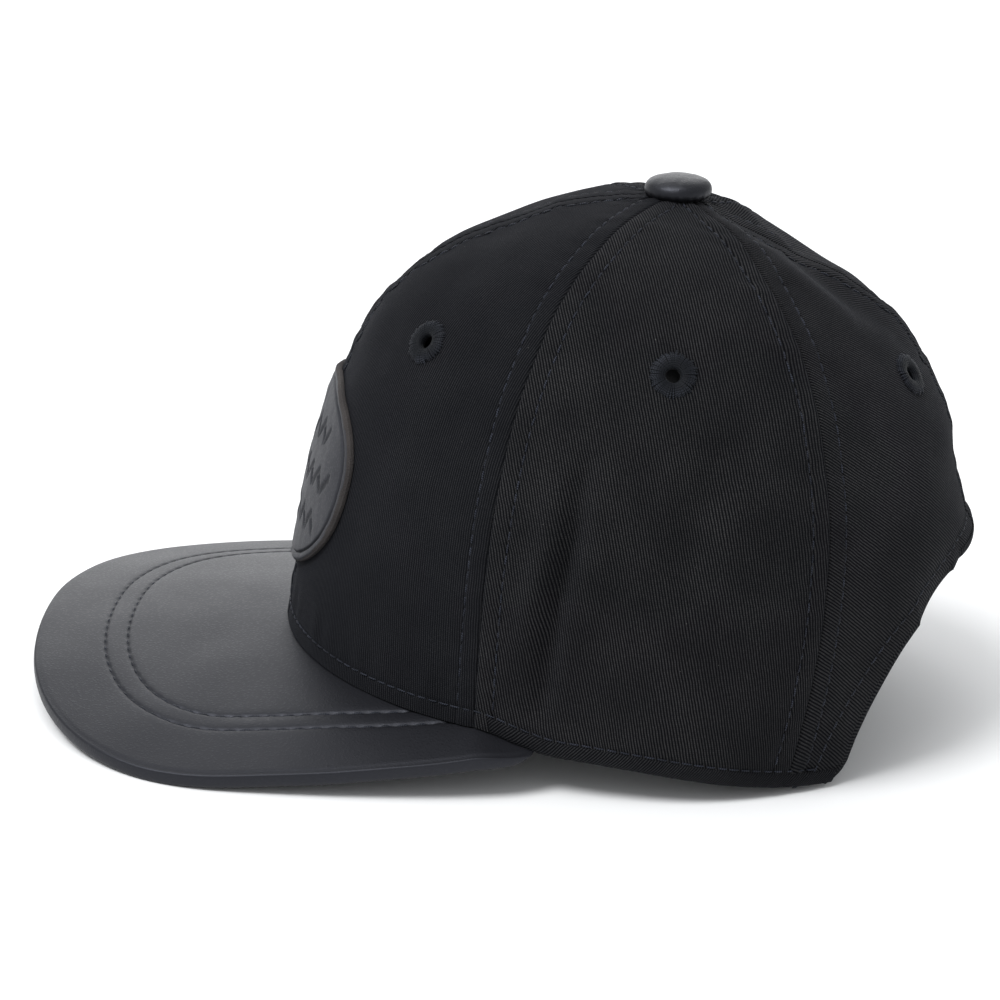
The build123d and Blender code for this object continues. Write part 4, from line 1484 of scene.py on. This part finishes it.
def pad(name, phi, rise):
    """Foam pad under the shell: rounded at its rim, with two pressed channels across it."""
    n, m = phi.shape
    u, v = np.linspace(-1, 1, n)[:, None], np.linspace(-1, 1, m)[None, :]
    full = (np.clip(1 - np.abs(u) ** 8, 0, 1) * np.clip(1 - np.abs(v) ** 8, 0, 1)) ** 0.5
    swell = 0.5 * (1 - u**2) * (1 - v**2)
    channel = 0.9 * (hump(np.abs(u) - 0.38, 0.05) + hump(v, 0.07)) * smooth((0.97 - np.abs(v)) / 0.1)
    shell_depth = around((5.0, 6.0, 9.0), phi)
    top_depth, under_depth = 2.5, 8.1
    top = top_depth + 2.6 * (1 - full)
    under = np.maximum(under_depth + swell - 3.0 * (1 - full) - channel * full, top + 0.05)
    outer, inner = (off_crown(phi, rise, -(shell_depth + depth)) for depth in (top, under))
    obj = closed_sheet(name, outer, inner, pad_foam)
    settle(obj, "pad_foam", name)


def rim_spaced(start, end, count):
    """Values from start to end, closer together near both ends."""
    t = np.linspace(-1, 1, count)
    return start + (end - start) * (np.sin(t * pi / 2) + 1) / 2


def band_pad(name, start, end, low, high, count=44):
    """Pad between two azimuths and two heights."""
    phi = np.broadcast_to(np.radians(rim_spaced(start, end, count))[:, None], (count, count))
    pad(name, phi, rise_at_height(phi, rim_spaced(low, high, count)[None, :]))


band_pad("front_pad", -27.0, 27.0, 42.0, 84.0)
band_pad("rear_pad", 160.0, 200.0, 73.0, 103.0)
band_pad("side_pad_left", 72.0, 108.0, 47.0, 92.0)
band_pad("side_pad_right", -108.0, -72.0, 47.0, 92.0)
for side, start, end in (("left", 14.0, 166.0), ("right", -166.0, -14.0)):
    phi = np.broadcast_to(np.radians(rim_spaced(start, end, 90))[:, None], (90, 34))
    shrink = rim_spaced(0.55, 0.22, 34)[None, :]
    pad(f"crown_pad_{side}", phi, rise_at_shrink(phi, shrink))


# ---- CAD pieces that stay as they are, with finished materials

for name, material in (
    ("button_core", board_plastic),
    ("button_rivet", rivet_metal),
    ("strap_root_left", strap_plastic),
    ("strap_root_right", strap_plastic),
    ("bump_shell", shell_plastic),
    ("insert_fasteners", fastener_pile),
    ("hole_strap", strap_plastic),
    ("peg_strap", strap_plastic),
):
    for material_slot in nodes[name].material_slots:
        material_slot.material = material


# ---- Stage, light and camera

floor_shader = Shader("studio_floor")
floor_color = floor_shader.mix(
    floor_shader.noise(floor_shader.place(), 300.0), (0.90, 0.90, 0.90), (0.92, 0.92, 0.92)
)
floor_material = floor_shader.finish(floor_color, 0.9, Specular_IOR_Level=0.1)
lowest = min(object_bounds()[0].z, 0.0) / MM
floor_half = 20000.0
floor_corners = [(x * floor_half, y * floor_half, lowest) for x, y in ((-1, -1), (1, -1), (1, 1), (-1, 1))]
make("studio_floor", floor_corners, [[0, 1, 2, 3]], floor_material)

world = bpy.data.worlds.new("studio")
world.use_nodes = True
background = world.node_tree.nodes["Background"].inputs
background["Color"].default_value = (0.96, 0.98, 1.0, 1.0)
background["Strength"].default_value = 0.62
bpy.context.scene.world = world
bpy.context.scene.view_settings.view_transform = "Standard"


def aimed(obj, place, forward):
    """Put an object in the scene, looking forward."""
    obj.location = place
    obj.rotation_mode = "QUATERNION"
    obj.rotation_quaternion = Vector(forward).to_track_quat("-Z", "Y")
    bpy.context.scene.collection.objects.link(obj)


middle = Vector((0.0, -0.02, 0.07))
for name, place, size, power in (
    ("overhead", Vector((0.30, -0.35, 1.5)), 1.0, 7.0),
    ("far_wall", Vector((-1.7, -0.15, 0.75)), 1.7, 13.0),
):
    light = bpy.data.lights.new(name, "AREA")
    light.size = size
    light.energy = power
    aimed(bpy.data.objects.new(name, light), place, middle - place)

window = bpy.data.lights.new("window", "SUN")
window.energy = 1.9
window.angle = radians(24)
window.color = (0.98, 0.99, 1.0)
aimed(bpy.data.objects.new("window", window), (0.0, 0.0, 0.0), (-0.38, 0.52, -0.95))

# The camera looks from the wearer's left, a little from above, and leans by a few degrees
elevation, swing, tip = radians(19.75), radians(-1.08), radians(3.56)
distance = 0.9117
target = Vector((0.0, -0.0398, 0.0554))
forward = Vector((-cos(elevation) * cos(swing), cos(elevation) * sin(swing), -sin(elevation)))
right = Vector((sin(swing), cos(swing), 0.0))
up = right.cross(forward)
camera_data = bpy.data.cameras.new("camera")
camera_data.lens = 112.8
camera_data.sensor_width = 36.0
camera_data.clip_start = 0.05
camera = bpy.data.objects.new("camera", camera_data)
across = right * cos(tip) + up * sin(tip)
upward = up * cos(tip) - right * sin(tip)
place = target - forward * distance
camera.matrix_world = Matrix((
    (across.x, upward.x, -forward.x, place.x),
    (across.y, upward.y, -forward.y, place.y),
    (across.z, upward.z, -forward.z, place.z),
    (0.0, 0.0, 0.0, 1.0),
))
bpy.context.scene.collection.objects.link(camera)
bpy.context.scene.camera = camera
